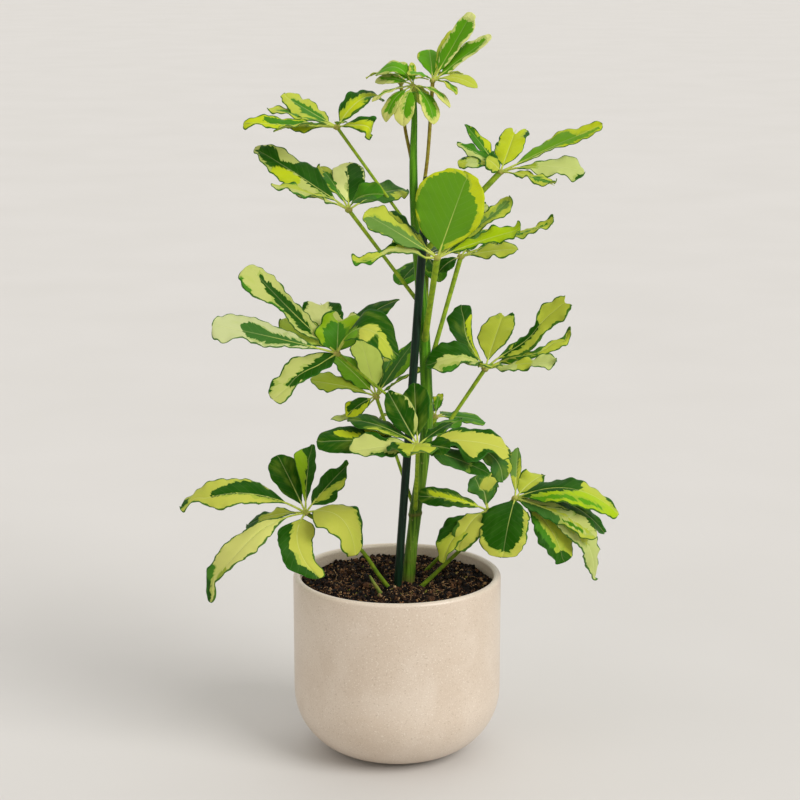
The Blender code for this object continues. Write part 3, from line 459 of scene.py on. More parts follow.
LEAVES["leaf_low_front"] = Leaf(166, (13.5, -56, 226), 1.35, (
    Leaflet(147, 55, 40, 24, "dark", (right_of("cream", (0.1, 3.4), (0.28, 6.9), (0.44, 8), (0.6, 8.2),
        (0.78, 6.6), (0.92, 2.6)),), 0.02, (-0.5, -0.4), wave=0.6, rim=0.3, left=(3, 6, 7.5, 8, 7, 5, 3),
        right=(5, 8.5, 9.5, 10, 9, 6, 3)),
    Leaflet(96, 60, 42, 22, "dark", (), 0.02, (-0.3, -0.2), wave=0.6, rim=0.3, left=(3, 5, 7, 8, 9, 7.5, 4),
        right=(4, 8, 9.5, 10, 9.5, 7.5, 4)),
    Leaflet(166, 18, 49, 20, "dark", (left_of("lime", (0.15, -4), (0.5, -5), (0.62, -8)),), 0.08, (0, -0.2),
        wave=0.8, rim=0.3, left=(4, 6, 8, 9, 10, 8, 4), right=(4, 7, 9, 11, 12, 8, 3)),
    Leaflet(178, 2, 65, 24, "dark", (("yellow", (0.5, 2, 6), (0.74, 4, 9), (0.8, 6, 8)), right_of("yellow",
        (-0.2, 5), (0.2, 6), (0.45, 9))), 0.04, (0, -0.6), wave=0.6, rim=0.3,
        left=(5, 8, 10, 11, 11, 10, 7), right=(5, 9, 12, 13, 13.5, 12, 9)),
    Leaflet(206, 1, 47, 27, "cream", (right_of("dark", (0.1, 9), (0.44, 10), (0.66, 12)), left_of("dark",
        (0.3, -8), (0.5, -6.5), (0.72, -6)), ("dark", (0.3, 6, 13), (0.44, 4, 14), (0.55, 9, 14))), 0.06,
        (0, -0.6), rim=0.9, left=(5, 9, 10, 10, 8, 4, 2), right=(6, 10, 13, 14, 13, 11, 7)),
    Leaflet(262, 4, 34, 33, "lime", (right_of("dark", (0.3, 12), (0.7, 9), (1, 3)),), 0.1, (0, -0.1),
        rim=0.9, wave=2.8, left=(7, 12, 15, 16, 14, 11, 6), right=(8, 13, 16, 17, 15, 12, 7)),
    Leaflet(318, 6, 27, 16, "dark", (), 0.05, (0, -0.9), rim=0.4, wave=0.8),
    Leaflet(2, -4, 60, 24, "straw", (left_of("dark", (0, -8), (0.28, -8), (0.44, -9), (0.6, -9.5),
        (0.74, -8.5), (0.84, -10)), right_of("dark", (0.2, 3), (0.3, 1), (0.38, 8), (0.46, 14),
        (0.56, 12.5), (0.64, 5), (0.76, 4), (0.84, 9)), band("dark", 0.95, 1)), 0.12, (0, -0.6), rim=0.8,
        left=(8, 12, 13, 13, 12, 11, 7), right=(6, 5, 17, 15, 6.5, 10, 8)),
    Leaflet(44, 16, 40, 18, "green", DARK_STREAK, 0.06, (0, 0), rim=0.3),
    Leaflet(350, -19, 49, 20, "moss", (band("dark", 0.7, 1.1),), 0.03, (0, -0.4), wave=0.5, rim=0.3,
        left=(5, 9, 10, 9.5, 7.5, 6, 3), right=(5, 9, 9.5, 9, 9, 7, 4)),
    Leaflet(8, -25, 61, 22, "moss", (left_of("lime", (0.66, -6), (0.95, -4.5)),), 0.24, (0, -0.15),
        peak=0.77, rim=0.6, twist=65, left=(4, 6, 7, 8, 8.5, 8, 6), right=(4, 6, 7, 8, 8.5, 8, 5)),
))
LEAVES["leaf_back_low"] = Leaf(182, (26, 40, 222), 1.5, (
    Leaflet(22, -10, 38, 18, "grass", (("green", (0, -6, 6), (0.5, -7, 7), (1, -4, 4)),), 0.06, (0, -0.3),
        wave=0.8, rim=0.3),
    Leaflet(80, 30, 24, 7, "yellow", FRESH_STREAK, 0.1, (0, -0.2)),
    Leaflet(60, -14, 50, 22, "lime", GREEN_STREAK, 0.08, (0, 0)),
    Leaflet(100, -4, 54, 23, "lime", DARK_STREAK, 0.08, (0, 0)),
    Leaflet(142, -8, 48, 20, "lime", GREEN_STREAK, 0.08, (0, 0)),
))
LEAVES["leaf_base_left"] = Leaf((-3.5, -17), (-60, -28, 173.5), 1.3, (
    Leaflet(184, 2, 82, 24, "straw", (("dark", (0.02, -0.5, 3), (0.12, -0.5, 8), (0.28, -0.5, 11.5),
        (0.44, -0.5, 10.5), (0.6, -0.5, 7.5), (0.7, 0, 4)), ("dark", (0.92, 4, 9), (1.05, 0, 10)),
        left_of("olive", (0.8, 0), (0.88, -1))), 0.22, (0, -0.6), peak=0.55, rim=0.9,
        left=(4, 8, 11, 12.5, 6, -0.5, 3), right=(8, 12, 14, 15, 14, 12.5, 11.5)),
    Leaflet(200, -42, 86, 20, "wheat", (right_of("dark", (0.45, 12), (0.55, 11.5), (0.66, 13.5)),
        right_of("dark", (0.82, 11.5), (0.9, 8), (1.02, 3)), ("olive", (0.7, -9, 2), (0.8, -9, 4),
        (0.9, -9, 2)), right_of("green", (0.76, 11), (0.86, 9.5), (0.92, 9))), 0.26, (0, -0.5), peak=0.42,
        rim=1.0, left=(4, 9, 10, 5, 1, -4, -1), right=(4, 8, 12, 14, 15.5, 17.5, 10.5)),
    Leaflet(287, -47, 48, 29, "straw", (right_of("dark", (-0.2, 5), (0.2, 4.5), (0.41, 6), (0.52, 6),
        (0.6, 3.5), (0.77, 6), (0.84, 2), (0.95, -1), (1.05, -3)),), 0.1, (0, 0), sweep=0.22, rim=0.9,
        wave=1.2, stem=0.1, left=(9.5, 12, 10, 8.5, 6.5, 7.5, 6), right=(11.5, 13, 13, 13, 14, 13, 8)),
    Leaflet(336, -34, 44, 30, "straw", (left_of("dark", (0.45, -15), (0.6, -13.5), (0.74, -12), (0.84, -10),
        (0.92, -8)),), 0.4, rim=0.9, stem=0.08, left=(9, 14, 16, 16.5, 15.5, 12.5, 8),
        right=(10, 18, 17, 14.5, 13, 13, 8)),
    Leaflet(130, 48, 45, 23, "dark", (), 0.02, (0, -0.4), wave=0.5, rim=0.3,
        left=(4, 8.5, 10, 11.5, 11, 9.5, 6), right=(2.5, 6, 9, 10.5, 10.5, 9, 5)),
    Leaflet(80, 60, 47, 17, "apple", (right_of("dark", (-0.2, 0), (0.12, -0.5), (0.28, -1), (0.6, -1.5),
        (0.76, -2.5), (0.84, -6), (1.1, -7)),), 0.02, (0.6, -0.2), wave=0.7, rim=0.3, sweep=-0.05,
        left=(2.5, 5, 7.5, 10, 12.5, 8, 2), right=(2, 4, 5, 5.5, 5, 4, 2.5)),
    Leaflet(34, 40, 45, 20, "lime", (("dark", (0.05, -20, -1), (0.28, -20, 0.5), (0.44, -20, 3),
        (0.6, -20, 5.5), (0.72, -20, 6.5), (0.8, -20, 20), (1.1, -20, 20)), right_of("dark", (-0.1, -4),
        (0.1, 2), (0.2, 5.5), (0.3, 6.5), (0.45, 8))), 0.04, (0, -0.4), rim=0.6, tip=3,
        left=(5, 7, 8, 7.5, 6, 4, 2), right=(8, 11, 10.5, 10, 7, 3, 1.5)),
    Leaflet(162, -16, 43, 18, "lime", (band("dark", 0.74, 1.2), right_of("dark", (0.5, 5), (0.8, 4))), 0.08,
        rim=0.9, left=(3, 5, 7, 8, 9, 9, 7), right=(3, 6, 8, 8, 7.5, 8.5, 8)),
), (4, 0, 6))
LEAVES["leaf_base_right"] = Leaf((15.2, -9), (79, -2, 176), 1.3, (
    Leaflet(357, -8, 70, 22, "lime acid", (("dark", (-0.05, -20, 3), (0.28, -20, 4), (0.44, -20, 3.5),
        (0.52, -20, 2), (0.58, -9, -2)), ("dark", (0.84, -9, -3), (0.98, -9, -3)), ("fresh", (0.1, 7, 10),
        (0.44, 9, 12.5), (0.8, 8, 11))), 0.22, (0, -0.4), rim=0.8, stem=0.06,
        left=(7, 10.5, 11, 10.5, 11, 8, 5), right=(9, 14, 16, 16.5, 15.5, 12, 7)),
    Leaflet(337, -19, 61, 20, "cream", (("moss", (-0.1, 1, 20), (0.4, 2, 20), (0.52, 3, 20), (0.58, 5, 18)),
        ("lime", (0.56, 1.6, 2.6), (0.7, 0.8, 3), (0.9, 0, 3)), right_of("lime", (0.6, 7.2), (0.8, 6.4),
        (1, 2)), ("green", (0.6, 3.4, 7), (0.7, 3.2, 7), (0.86, 3, 5.6)), left_of("dark", (0.8, -5),
        (0.95, -4))), 0.1, (0, -0.5), rim=0.6, stem=0.04, left=(3, 5, 6, 6.5, 7, 8, 6),
        right=(6, 9, 9.5, 9.5, 9, 8.5, 6)),
    Leaflet(4, -46, 79, 16, "pale", (("lime", (0, -2, 4), (0.5, -3, 3), (0.62, -1, 2)), left_of("green",
        (0.3, -7), (0.62, -7.5))), 0.35, (-0.3, -0.6), peak=0.45, rim=0.8, wave=2.4,
        left=(5, 8, 9.5, 10.5, 9, 8.5, 6), right=(5, 8, 9, 8, 7.5, 6, 4)),
    Leaflet(320, -42, 55, 26, "lime", (right_of("dark", (0.84, -2), (0.92, -7), (1.05, -9)),
        right_of("dark", (0.3, 10), (0.6, 9), (0.84, 6)), ("green", (0.1, 3, 12), (0.5, 5, 12),
        (0.75, 4, 9)), left_of("lime", (0.2, -2), (0.5, -3), (0.8, 0))), 0.12, (0, -0.2), sweep=-0.06,
        rim=0.8, left=(6, 10, 12, 13, 14, 13.5, 10), right=(4, 8, 13, 14.5, 12, 10, 7)),
    Leaflet(256, -35, 50, 35, "straw", (("dark", (-0.04, -3, 9), (0.1, -5, 15), (0.28, -8, 20),
        (0.44, -10, 20), (0.6, -10.5, 17.5), (0.74, -9.5, 15), (0.84, -7, 11), (0.92, -5, 3)),), 0.08,
        (0, 0), stem=0.04, rim=0.7, wave=2.0, left=(6, 12, 13.5, 14, 14, 13, 10),
        right=(12, 16.5, 18.5, 18.5, 17.5, 15.5, 11)),
    Leaflet(83, 53, 37, 11, "lime", (("grey", (0.3, -6, 0), (0.7, -6, 1), (0.86, -6, 4), (1.1, -6, 4)),),
        0.03, (0, -0.2), wave=0.5, rim=0.3, left=(2, 3.5, 4.5, 5, 5, 4, 2.5),
        right=(1.5, 2, 3, 3, 2.5, 2, 1)),
    Leaflet(52, 16, 34, 18, "lime", (), 0.1, (0, -0.7), rim=0.8, wave=2.4, left=(5, 8, 10, 10, 9, 8, 5),
        right=(4, 5, 6, 6, 5, 3.5, 2)),
    Leaflet(14, -24, 70, 18, "dark", (), 0.2, (0.3, -0.7), peak=0.4, rim=1.0),
))
LEAVES["leaf_base_right_back"] = Leaf((18.5, 25), (61, 2, 166.5), 1.1, (
    Leaflet(197, 16, 51, 18, "dark", (("yellow", (0.02, -1, 1.5), (0.28, -1, 2), (0.44, -1, 3), (0.7, 0, 4),
        (0.82, 2, 4)),), 0.08, (0, -0.7), wave=1.0, rim=0.3, left=(3, 5, 6, 8.5, 7.5, 7, 5),
        right=(4, 6, 8, 8.5, 8.5, 8, 6)),
    Leaflet(217, -37, 49, 20, "lime", (right_of("dark", (-0.1, 1), (0.28, 2), (0.44, 3.5), (0.6, 5),
        (0.74, 7), (0.82, 11)),), 0.2, rim=0.8, left=(6, 8, 8, 6.5, 5, 4, 3),
        right=(6, 11, 14, 14, 11.5, 8, 5)),
    Leaflet(231, -31, 39, 22, "straw", (), 0.2, (0, -0.2), rim=1.5, left=(6, 10, 12, 12, 11, 9, 6),
        right=(5, 8, 9, 8, 8, 7, 4)),
    Leaflet(206, 68, 27, 24, "moss", (("straw", (0.42, 4, 8), (0.55, 0, 13), (0.7, 1, 14), (0.82, 4, 12)),),
        0.05, (0, -1.2), rim=0.5, wave=2.0, stem=0.18, left=(1, 2, 4, 7.5, 8.5, 7, 4),
        right=(5, 9, 14, 15.5, 15, 13, 9)),
    Leaflet(92, 24, 38, 18, "moss", GREEN_STREAK, 0.06, (0, 0)),
    Leaflet(45, -18, 42, 18, "lime", GREEN_STREAK, 0.08, (0, 0)),
), (0, 4, 0))


def linear(code):
    """The linear colour, with alpha, of six hexadecimal digits as the eye sees them."""
    parts = [int(code[i : i + 2], 16) / 255 for i in (0, 2, 4)]
    return (*[p / 12.92 if p <= 0.04045 else ((p + 0.055) / 1.055) ** 2.4 for p in parts], 1.0)


def sign(operation, swapped=False):
    """What one of Python's signs does to a number in a material: it adds a Math node."""

    def method(self, *others):
        terms = (*others, self) if swapped else (self, *others)
        return self.paint.sum(operation, *terms)

    return method


class Sum:
    """A number in a material, on which Python's own signs add Math nodes."""

    def __init__(self, paint, socket):
        self.paint = paint
        self.socket = socket

    __add__ = __radd__ = sign("ADD")
    __sub__ = sign("SUBTRACT")
    __rsub__ = sign("SUBTRACT", swapped=True)
    __mul__ = __rmul__ = sign("MULTIPLY")
    __pow__ = sign("POWER")
    __abs__ = sign("ABSOLUTE")
    wrapped = sign("FRACT")

    def step(self, low, high):
        """0 under low and 1 over high, with a smooth rise between."""
        values = {"Value": self, "From Min": low, "From Max": high}
        return self.paint.add("ShaderNodeMapRange", {"interpolation_type": "SMOOTHSTEP"}, values)


class Paint:
    """One material on a Principled shader, with its colour so far and the nodes that feed it."""

    def __init__(self, name):
        self.material = bpy.data.materials.new(name)
        self.material.use_nodes = True
        self.nodes = self.material.node_tree.nodes
        self.links = self.material.node_tree.links
        self.shader = self.nodes["Principled BSDF"]
        self.colour = None

    def plug(self, node, values):
        for key, value in values.items():
            socket = node.inputs[key]
            if isinstance(value, Sum):
                self.links.new(value.socket, socket)
            else:
                socket.default_value = linear(value) if isinstance(value, str) else value

    def add(self, kind, settings=None, values=None, out=0):
        """Add a node, give it its settings, then its values and links, and return one output."""
        node = self.nodes.new(kind)
        for name, setting in (settings or {}).items():
            if name == "stops":
                ramp = node.color_ramp.elements
                while len(ramp) < len(setting):
                    ramp.new(0.5)
                for element, (place, code) in zip(ramp, setting):
                    element.position = place
                    element.color = linear(code)
            else:
                setattr(node, name, setting)
        self.plug(node, values or {})
        return Sum(self, node.outputs[out])

    def sum(self, operation, *terms):
        return self.add("ShaderNodeMath", {"operation": operation}, dict(enumerate(terms)))

    def split(self, vector):
        """The three numbers of a vector."""
        node = self.nodes.new("ShaderNodeSeparateXYZ")
        self.links.new(vector.socket, node.inputs[0])
        return [Sum(self, socket) for socket in node.outputs]

    def join(self, x, y, z):
        return self.add("ShaderNodeCombineXYZ", None, {"X": x, "Y": y, "Z": z})

    def attribute(self, name, out="Vector"):
        return self.add("ShaderNodeAttribute", {"attribute_name": name}, None, out)

    def place(self):
        """Where the surface is, in millimetres."""
        spot = self.add("ShaderNodeTexCoord", None, None, "Object")
        return self.add("ShaderNodeVectorMath", {"operation": "SCALE"}, {0: spot, "Scale": 1 / MM})

    def noise(self, vector, size, detail=2.0, rough=0.5, smear=0.0):
        """Noise from 0 to 1, with marks of about this size."""
        values = {"Vector": vector, "Scale": 1 / size, "Detail": detail, "Roughness": rough}
        return self.add("ShaderNodeTexNoise", {"normalize": True}, {**values, "Distortion": smear})

    def mix(self, share, a, b):
        """Colour a where share is 0 and colour b where it is 1."""
        return self.add("ShaderNodeMix", {"data_type": "RGBA"}, {0: share, 6: a, 7: b}, 2)

    def over(self, share, tone):
        """Lay a tone over the colour so far, by its share."""
        self.colour = self.mix(share, self.colour, tone)

    def bump(self, height, depth, strength=1.0):
        """A bump of this depth in millimetres."""
        values = {"Height": height, "Distance": depth * MM, "Strength": strength}
        return self.add("ShaderNodeBump", None, values)

    def finish(self, values):
        self.plug(self.shader, {"Base Color": self.colour, **values})
        return self.material


def activate(obj):
    deselect()
    obj.select_set(True)
    bpy.context.view_layer.objects.active = obj


def deselect():
    for obj in bpy.context.selected_objects:
        obj.select_set(False)


def linked(name, data):
    """A new object in the scene with this mesh or curve."""
    obj = bpy.data.objects.new(name, data)
    bpy.context.scene.collection.objects.link(obj)
    return obj


def joined(name, parts):
    """All parts as one object."""
    activate(parts[0])
    for part in parts:
        part.select_set(True)
    if len(parts) > 1:
        bpy.ops.object.join()
    made = bpy.context.view_layer.objects.active
    made.name = name
    made.data.name = name
    return made


def clean(obj):
    """Make coinciding points one, and turn every face outwards."""
    activate(obj)
    bpy.ops.object.mode_set(mode="EDIT")
    bpy.ops.mesh.select_all(action="SELECT")
    bpy.ops.mesh.remove_doubles(threshold=0.000002)
    bpy.ops.mesh.normals_make_consistent(inside=False)
    bpy.ops.object.mode_set(mode="OBJECT")
    return obj


def smooth(obj, angle=180.0):
    activate(obj)
    if angle >= 180:
        bpy.ops.object.shade_smooth()
    else:
        bpy.ops.object.shade_smooth_by_angle(angle=math.radians(angle))


def settle(obj, material, slot, *nodes):
    """Give the piece its material and place in the frame; the slot argument is not used. It stands for the
    named nodes.
    """
    obj.data.materials.clear()
    obj.data.materials.append(material)
    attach(obj, "root")
    if nodes:
        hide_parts(*nodes)


def points_of(mesh):
    points = np.empty(len(mesh.vertices) * 3)
    mesh.vertices.foreach_get("co", points)
    return points.reshape(-1, 3)


def move_points(mesh, points):
    mesh.vertices.foreach_set("co", np.asarray(points, float).ravel())
    mesh.update()


def mark(mesh, name, values):
    """Write an attribute on the mesh's points: one value for all of them, or one for each."""
    values = np.asarray(values, np.float32)
    if values.ndim < 2 and len(values.ravel()) != len(mesh.vertices):
        values = np.tile(values, (len(mesh.vertices), 1))
    width = values.shape[1] if values.ndim == 2 else 1
    kind, field = {1: ("FLOAT", "value"), 3: ("FLOAT_VECTOR", "vector"), 4: ("FLOAT_COLOR", "color")}[width]
    attribute = mesh.attributes.get(name) or mesh.attributes.new(name, kind, "POINT")
    attribute.data.foreach_set(field, values.ravel())


def smooth_path(points, steps):
    """Points on a smooth curve through the given ones, with steps between each two."""
    knots = [Vector(p) for p in points]
    knots = [2 * knots[0] - knots[1], *knots, 2 * knots[-1] - knots[-2]]
    path = []
    for a, b, c, d in zip(knots, knots[1:], knots[2:], knots[3:]):
        for step in range(steps):
            t = step / steps
            bend = (2 * a - 5 * b + 4 * c - d) * (t * t / 2)
            path.append(b + (c - a) * (t / 2) + bend + (3 * b - a - 3 * c + d) * (t**3 / 2))
    return [*path, knots[-2]]


def tubes(name, paths, resolution):
    """Closed round tubes along paths of x, y, z and radius, as one object."""
    curve = bpy.data.curves.new(name, "CURVE")
    curve.dimensions = "3D"
    curve.bevel_depth = MM
    curve.bevel_resolution = resolution
    curve.use_fill_caps = True
    for path in paths:
        spline = curve.splines.new("POLY")
        spline.points.add(len(path) - 1)
        for point, (x, y, z, radius) in zip(spline.points, path):
            point.co = (x * MM, y * MM, z * MM, 1)
            point.radius = radius
    activate(linked(name, curve))
    bpy.ops.object.convert(target="MESH")
    return clean(bpy.context.view_layer.objects.active)


def arc(centre, radius, start, end, steps):
    """Points of a profile along an arc, with its angles in degrees from +X towards +Z."""
    angles = [math.radians(start + (end - start) * i / steps) for i in range(steps + 1)]
    return [(centre[0] + radius * math.cos(a), centre[1] + radius * math.sin(a)) for a in angles]


def turned(name, profile, sides):
    """A closed solid of rings of points, raised from a circle by extruding and widening it."""
    radius, height = profile[0]
    spot = (0, 0, height * MM)
    bpy.ops.mesh.primitive_circle_add(vertices=sides, radius=radius * MM, fill_type="NGON", location=spot)
    obj = bpy.context.view_layer.objects.active
    obj.name = name
    bpy.ops.object.mode_set(mode="EDIT")
    bpy.ops.mesh.select_all(action="SELECT")
    for wider, higher in profile[1:]:
        bpy.ops.mesh.extrude_region_move(TRANSFORM_OT_translate={"value": (0, 0, (higher - height) * MM)})
        share = wider / radius
        bpy.ops.transform.resize(value=(share, share, 1), center_override=(0, 0, higher * MM))
        radius, height = wider, higher
    bpy.ops.object.mode_set(mode="OBJECT")
    activate(obj)
    bpy.ops.object.transform_apply(location=True, rotation=True, scale=True)
    return clean(obj)


def bowl(inset, floor, top, steps):
    """The profile of the pot's side this far in from its outside, from the flat foot up to the top."""
    radius, corner = POT_RADIUS - inset, POT_CORNER - inset
    return [*arc((radius - corner, floor + corner), corner, -90, 0, steps), (radius, top)]


def glaze_material(settings):
    """Cream glaze: faint clouds and wheel lines, dense fine specks, a painted highlight on the lip, shaded
    inside.
    """
    paint = Paint("glaze")
    spot = paint.place()
    x, y, z = paint.split(spot)
    cloud = paint.noise(spot, 38, 3, 0.55, 0.6)
    streak = paint.noise(paint.join(x * 0.25, y * 0.25, z), 3.4, 3, 0.6)
    paint.colour = paint.mix(cloud.step(0.3, 0.75), settings.shade, settings.glaze)
    paint.over((streak - 0.42) * 0.2, settings.light)
    size = settings.speck_size / MM
    light = paint.noise(spot, size, 1, 0.4).step(0.62, 0.72)
    dark = paint.noise(spot, size * 1.4, 1, 0.4, 0.2).step(0.64, 0.74)
    faint = paint.noise(spot, size * 0.8, 2, 0.7).step(0.4, 0.7)
    paint.over(faint * 0.15, settings.speck)
    paint.over(light * 0.6, settings.light)
    paint.over(dark * 0.28, settings.speck)
    # Painted highlight: the top of the lip is made paler, standing in for light caught on the rim.
    lip = z.step(POT_HEIGHT - 2.4, POT_HEIGHT - 0.2)
    paint.over(lip * 0.25, settings.light)
    bore = POT_RADIUS - POT_WALL
    inside = 1 - z.step(POT_HEIGHT - 14, POT_HEIGHT - 3)
    inside = z.step(POT_CORNER, POT_CORNER + 9) * inside
    inside = inside * (1 - ((x * x + y * y) ** 0.5).step(bore, bore + 1))
    paint.over(inside * 0.2, "957c5e")
    grain = paint.noise(spot, 1.6, 3, 0.6)
    rough = 0.42 + (grain - 0.5) * 0.16 + light * 0.12 - lip * 0.04
    relief = paint.bump(grain * 0.5 + paint.noise(spot, 14, 1) * 1.4 + light * 0.3, 0.12, 0.6)
    return paint.finish({"Roughness": rough, "Normal": relief, "Coat Weight": 0.25, "Coat Roughness": 0.2})


def soil_material(settings):
    """Moist peat: near black to mid brown from crumb to crumb, with tan bits and a trace of moss."""
    paint = Paint("soil")
    spot = paint.place()
    tone = paint.attribute("tone", "Fac")
    patch = paint.noise(spot, 9, 3, 0.6)
    fine = paint.noise(spot, 0.7, 3, 0.65)
    stops = (
        (0.0, "020101"), (0.25, "100906"), (0.48, "382416"),
        (0.7, "714d32"), (0.86, "9c7750"), (1.0, "dcc498"),
    )
    crumb = tone * 0.8 + patch * 0.2 + (fine - 0.5) * 0.8
    paint.colour = paint.add("ShaderNodeValToRGB", {"stops": stops}, {0: crumb})
    moss = paint.noise(spot, 7, 2).step(0.6, 0.7) * (tone + fine * 0.6).step(0.7, 1.0)
    paint.over(moss * 0.7, "7f8c2e")
    damp = patch.step(0.35, 0.6)
    relief = paint.bump(fine, 0.5, settings.relief)
    return paint.finish({"Roughness": 0.7 + damp * 0.25, "Normal": relief, "Specular IOR Level": 0.2})


def cane_material(settings):
    """A dark green coating with faint lengthways streaks and dusty scuffs."""
    paint = Paint("cane")
    x, y, z = paint.split(paint.place())
    streak = paint.noise(paint.join(x, y, z * 0.06), 1.2, 3, 0.6)
    scuff = paint.noise(paint.join(x, y, z * 0.3), 2.4, 4, 0.7)
    paint.colour = paint.mix(streak.step(0.3, 0.75), settings.cane, settings.cane_light)
    paint.over(scuff.step(0.62, 0.8) * 0.25, (0.16, 0.2, 0.17, 1))
    rough = 0.4 + (scuff - 0.5) * 0.3
    relief = paint.bump(streak + scuff * 0.4, 0.15, 0.5)
    return paint.finish({"Roughness": rough, "Normal": relief, "Specular IOR Level": 0.2})


def bark_material(settings):
    """Green young bark: lengthways streaks, drier low down, brown cork at the foot and the scars."""
    paint = Paint("bark")
    x, y, z = paint.split(paint.place())
    streak = paint.noise(paint.join(x, y, z * 0.05), 1.5, 3, 0.6)
    broad = paint.noise(paint.join(x, y, z * 0.12), 4, 2)
    paint.colour = paint.mix(streak.step(0.3, 0.7), settings.bark, settings.bark_light)
    paint.over(broad.step(0.5, 0.8) * 0.6, "86a82e")
    aged = (1 - z.step(*BARK_AGES)) * 0.55
    paint.over(aged, paint.mix(streak.step(0.35, 0.65), "30460b", "6c802a"))
    cork = paint.attribute("cork", "Fac") * (0.5 + streak)
    paint.over(cork, "6b5a30")
    dots = paint.noise(paint.join(x, y, z * 0.5), 1.1, 1)
    paint.over(dots.step(0.68, 0.74) * 0.35, "b3a86a")
    rough = 0.48 + cork * 0.3
    relief = paint.bump(streak + dots * 0.4, 0.35, 0.7)
    return paint.finish({"Roughness": rough, "Normal": relief, "Specular IOR Level": 0.15})


def dry_material():
    """A dead stalk end: ochre with green left in it and dark fibres."""
    paint = Paint("dry_stalk")
    x, y, z = paint.split(paint.place())
    fibre = paint.noise(paint.join(x * 0.4, y, z * 0.4), 0.8, 3, 0.6)
    patch = paint.noise(paint.place(), 5, 2)
    paint.colour = paint.mix(patch.step(0.35, 0.65), "8c8c34", "5d7620")
    paint.over(fibre.step(0.5, 0.8) * 0.7, "4b3718")
    return paint.finish({"Roughness": 0.75, "Normal": paint.bump(fibre, 0.3, 0.8)})


def leaf_material(settings):
    """A waxy leaf. Attributes say where each point lies on its blade and how that blade is variegated."""
    paint = Paint("leaf")
    x, y, seed = paint.split(paint.attribute("blade"))
    u, v, half = paint.split(paint.attribute("spot"))
    gap, rim, under = paint.split(paint.attribute("marks"))
    paint.colour = field = paint.attribute("field", "Color")
    patch = paint.attribute("patch", "Color")
    stalk = paint.attribute("stalk", "Fac")

    # Fingers of colour run along the side veins, which leave the midrib at a slant towards the tip.
    out = abs(x)
    side = u.step(-0.02, 0.02) * 9.0
    vein = y - out * 0.95
    coarse = paint.noise(paint.join(vein, out * 0.22 + side, seed), 4.4, 2, 0.6)
    fine = paint.noise(paint.join(vein, out * 0.35 + side, seed + 4.0), 1.5, 3, 0.65)
    soft = paint.noise(paint.join(x, y, seed + 8.0), 13, 2)
    edge = gap + ((coarse.step(0.34, 0.66) - 0.5) * (settings.jag / MM) + (fine - 0.5) * 2.6)
    inside = 1 - edge.step(-0.2, 0.2)
    fringe = 1 - (edge - (soft - 0.4) * 9.0).step(-0.3, 0.3)

    blush = paint.noise(paint.join(vein * 0.6, out, seed + 12.0), 7, 2)
    paint.over(blush.step(0.45, 0.75) * 0.22, "9db33a")
    paint.over(fringe * 0.5, "86a335")
    paint.over(inside, paint.mix(blush.step(0.35, 0.7) * 0.4, patch, paint.mix(0.4, patch, "528430")))

    margin = (1 - abs(u)) * half
    lace = paint.noise(paint.join(y, side, seed + 16.0), 6.5, 3, 0.6)
    line = 1 - (margin + 0.1 - rim * (0.5 + lace.step(0.3, 0.72) * 1.5)).step(-0.14, 0.14)
    paint.over(line * 0.92, "2a6218")

    rib = 1 - out.step(0.16, 0.6 - v * 0.25)
    paint.over(rib * (0.5 - inside * 0.2) * (1 - v * 0.6), "cfd88c")
    ribs = (vein * 0.19 + (soft - 0.5) * 0.5).wrapped()
    threads = 1 - abs(ribs - 0.5).step(0.0, 0.06)
    paint.over(threads * 0.04, "d5de9a")
    paint.over(under * 0.42, paint.mix(0.35, paint.colour, "b9c77e"))

    grain = paint.noise(paint.place(), 3.2, 3)
    paint.over(stalk, paint.mix(grain.step(0.3, 0.7), field, patch))
    rough = 0.48 + (soft - 0.5) * 0.12 + under * 0.2 + stalk * 0.1
    relief = paint.bump(fine * 0.12 - threads * 0.2 - rib * 0.3, 0.3, settings.relief)
    return paint.finish({"Roughness": rough, "Normal": relief, "Specular IOR Level": 0.07})


def blade_half(v, widest):
    """Half the blade's width as a share of its widest, from its base at 0 to its tip at 1."""
    low = 1.05
    high = low * (1 - widest) / widest
    top = widest**low * (1 - widest) ** high
    return v**low * (1 - v) ** high / top


def margin_wave(v, side, seed):
    """How far the margin waves up or down at v along the blade, from -1 to 1."""
    phase = seed * 1.7 + side * 1.1
    return np.sin(v * 15.0 + phase) * 0.65 + np.sin(v * 8.5 + phase * 2.3) * 0.35


class Midrib:
    """The curve that a leaflet's blade hangs on, with its directions at each point."""

    def __init__(self, leaflet, hub):
        bearing = math.radians(leaflet.bearing)
        rise = math.radians(leaflet.rise)
        level = math.cos(rise)
        line = np.array((level * math.cos(bearing), level * math.sin(bearing), math.sin(rise)))
        up = np.array((*leaflet.face, 1.0))
        up -= line * up.dot(line)
        up /= np.linalg.norm(up)
        self.right = np.cross(line, up)
        self.start = np.array(hub, float)
        self.end = self.start + line * leaflet.reach
        self.bend = self.start + line * (leaflet.reach * leaflet.peak)
        self.bend += up * (2 * leaflet.arch * leaflet.reach)
        self.bend += self.right * (2 * leaflet.sweep * leaflet.reach)
        self.twist = math.radians(leaflet.twist)

    def frame(self, s):
        """Place, sideways direction and upward direction at each s along the rib, from 0 to 1."""
        s = np.atleast_1d(s)[:, None]
        place = self.start * (1 - s) ** 2 + self.bend * (2 * s * (1 - s)) + self.end * s**2
        ahead = (self.bend - self.start) * (1 - s) + (self.end - self.bend) * s
        ahead /= np.linalg.norm(ahead, axis=1)[:, None]
        turn = self.twist * s
        right = np.broadcast_to(self.right, ahead.shape)
        side = right * np.cos(turn) + np.cross(ahead, right) * np.sin(turn)
        side += ahead * (ahead * right).sum(1)[:, None] * (1 - np.cos(turn))
        up = np.cross(side, ahead)
        return place, side, up / np.linalg.norm(up, axis=1)[:, None]


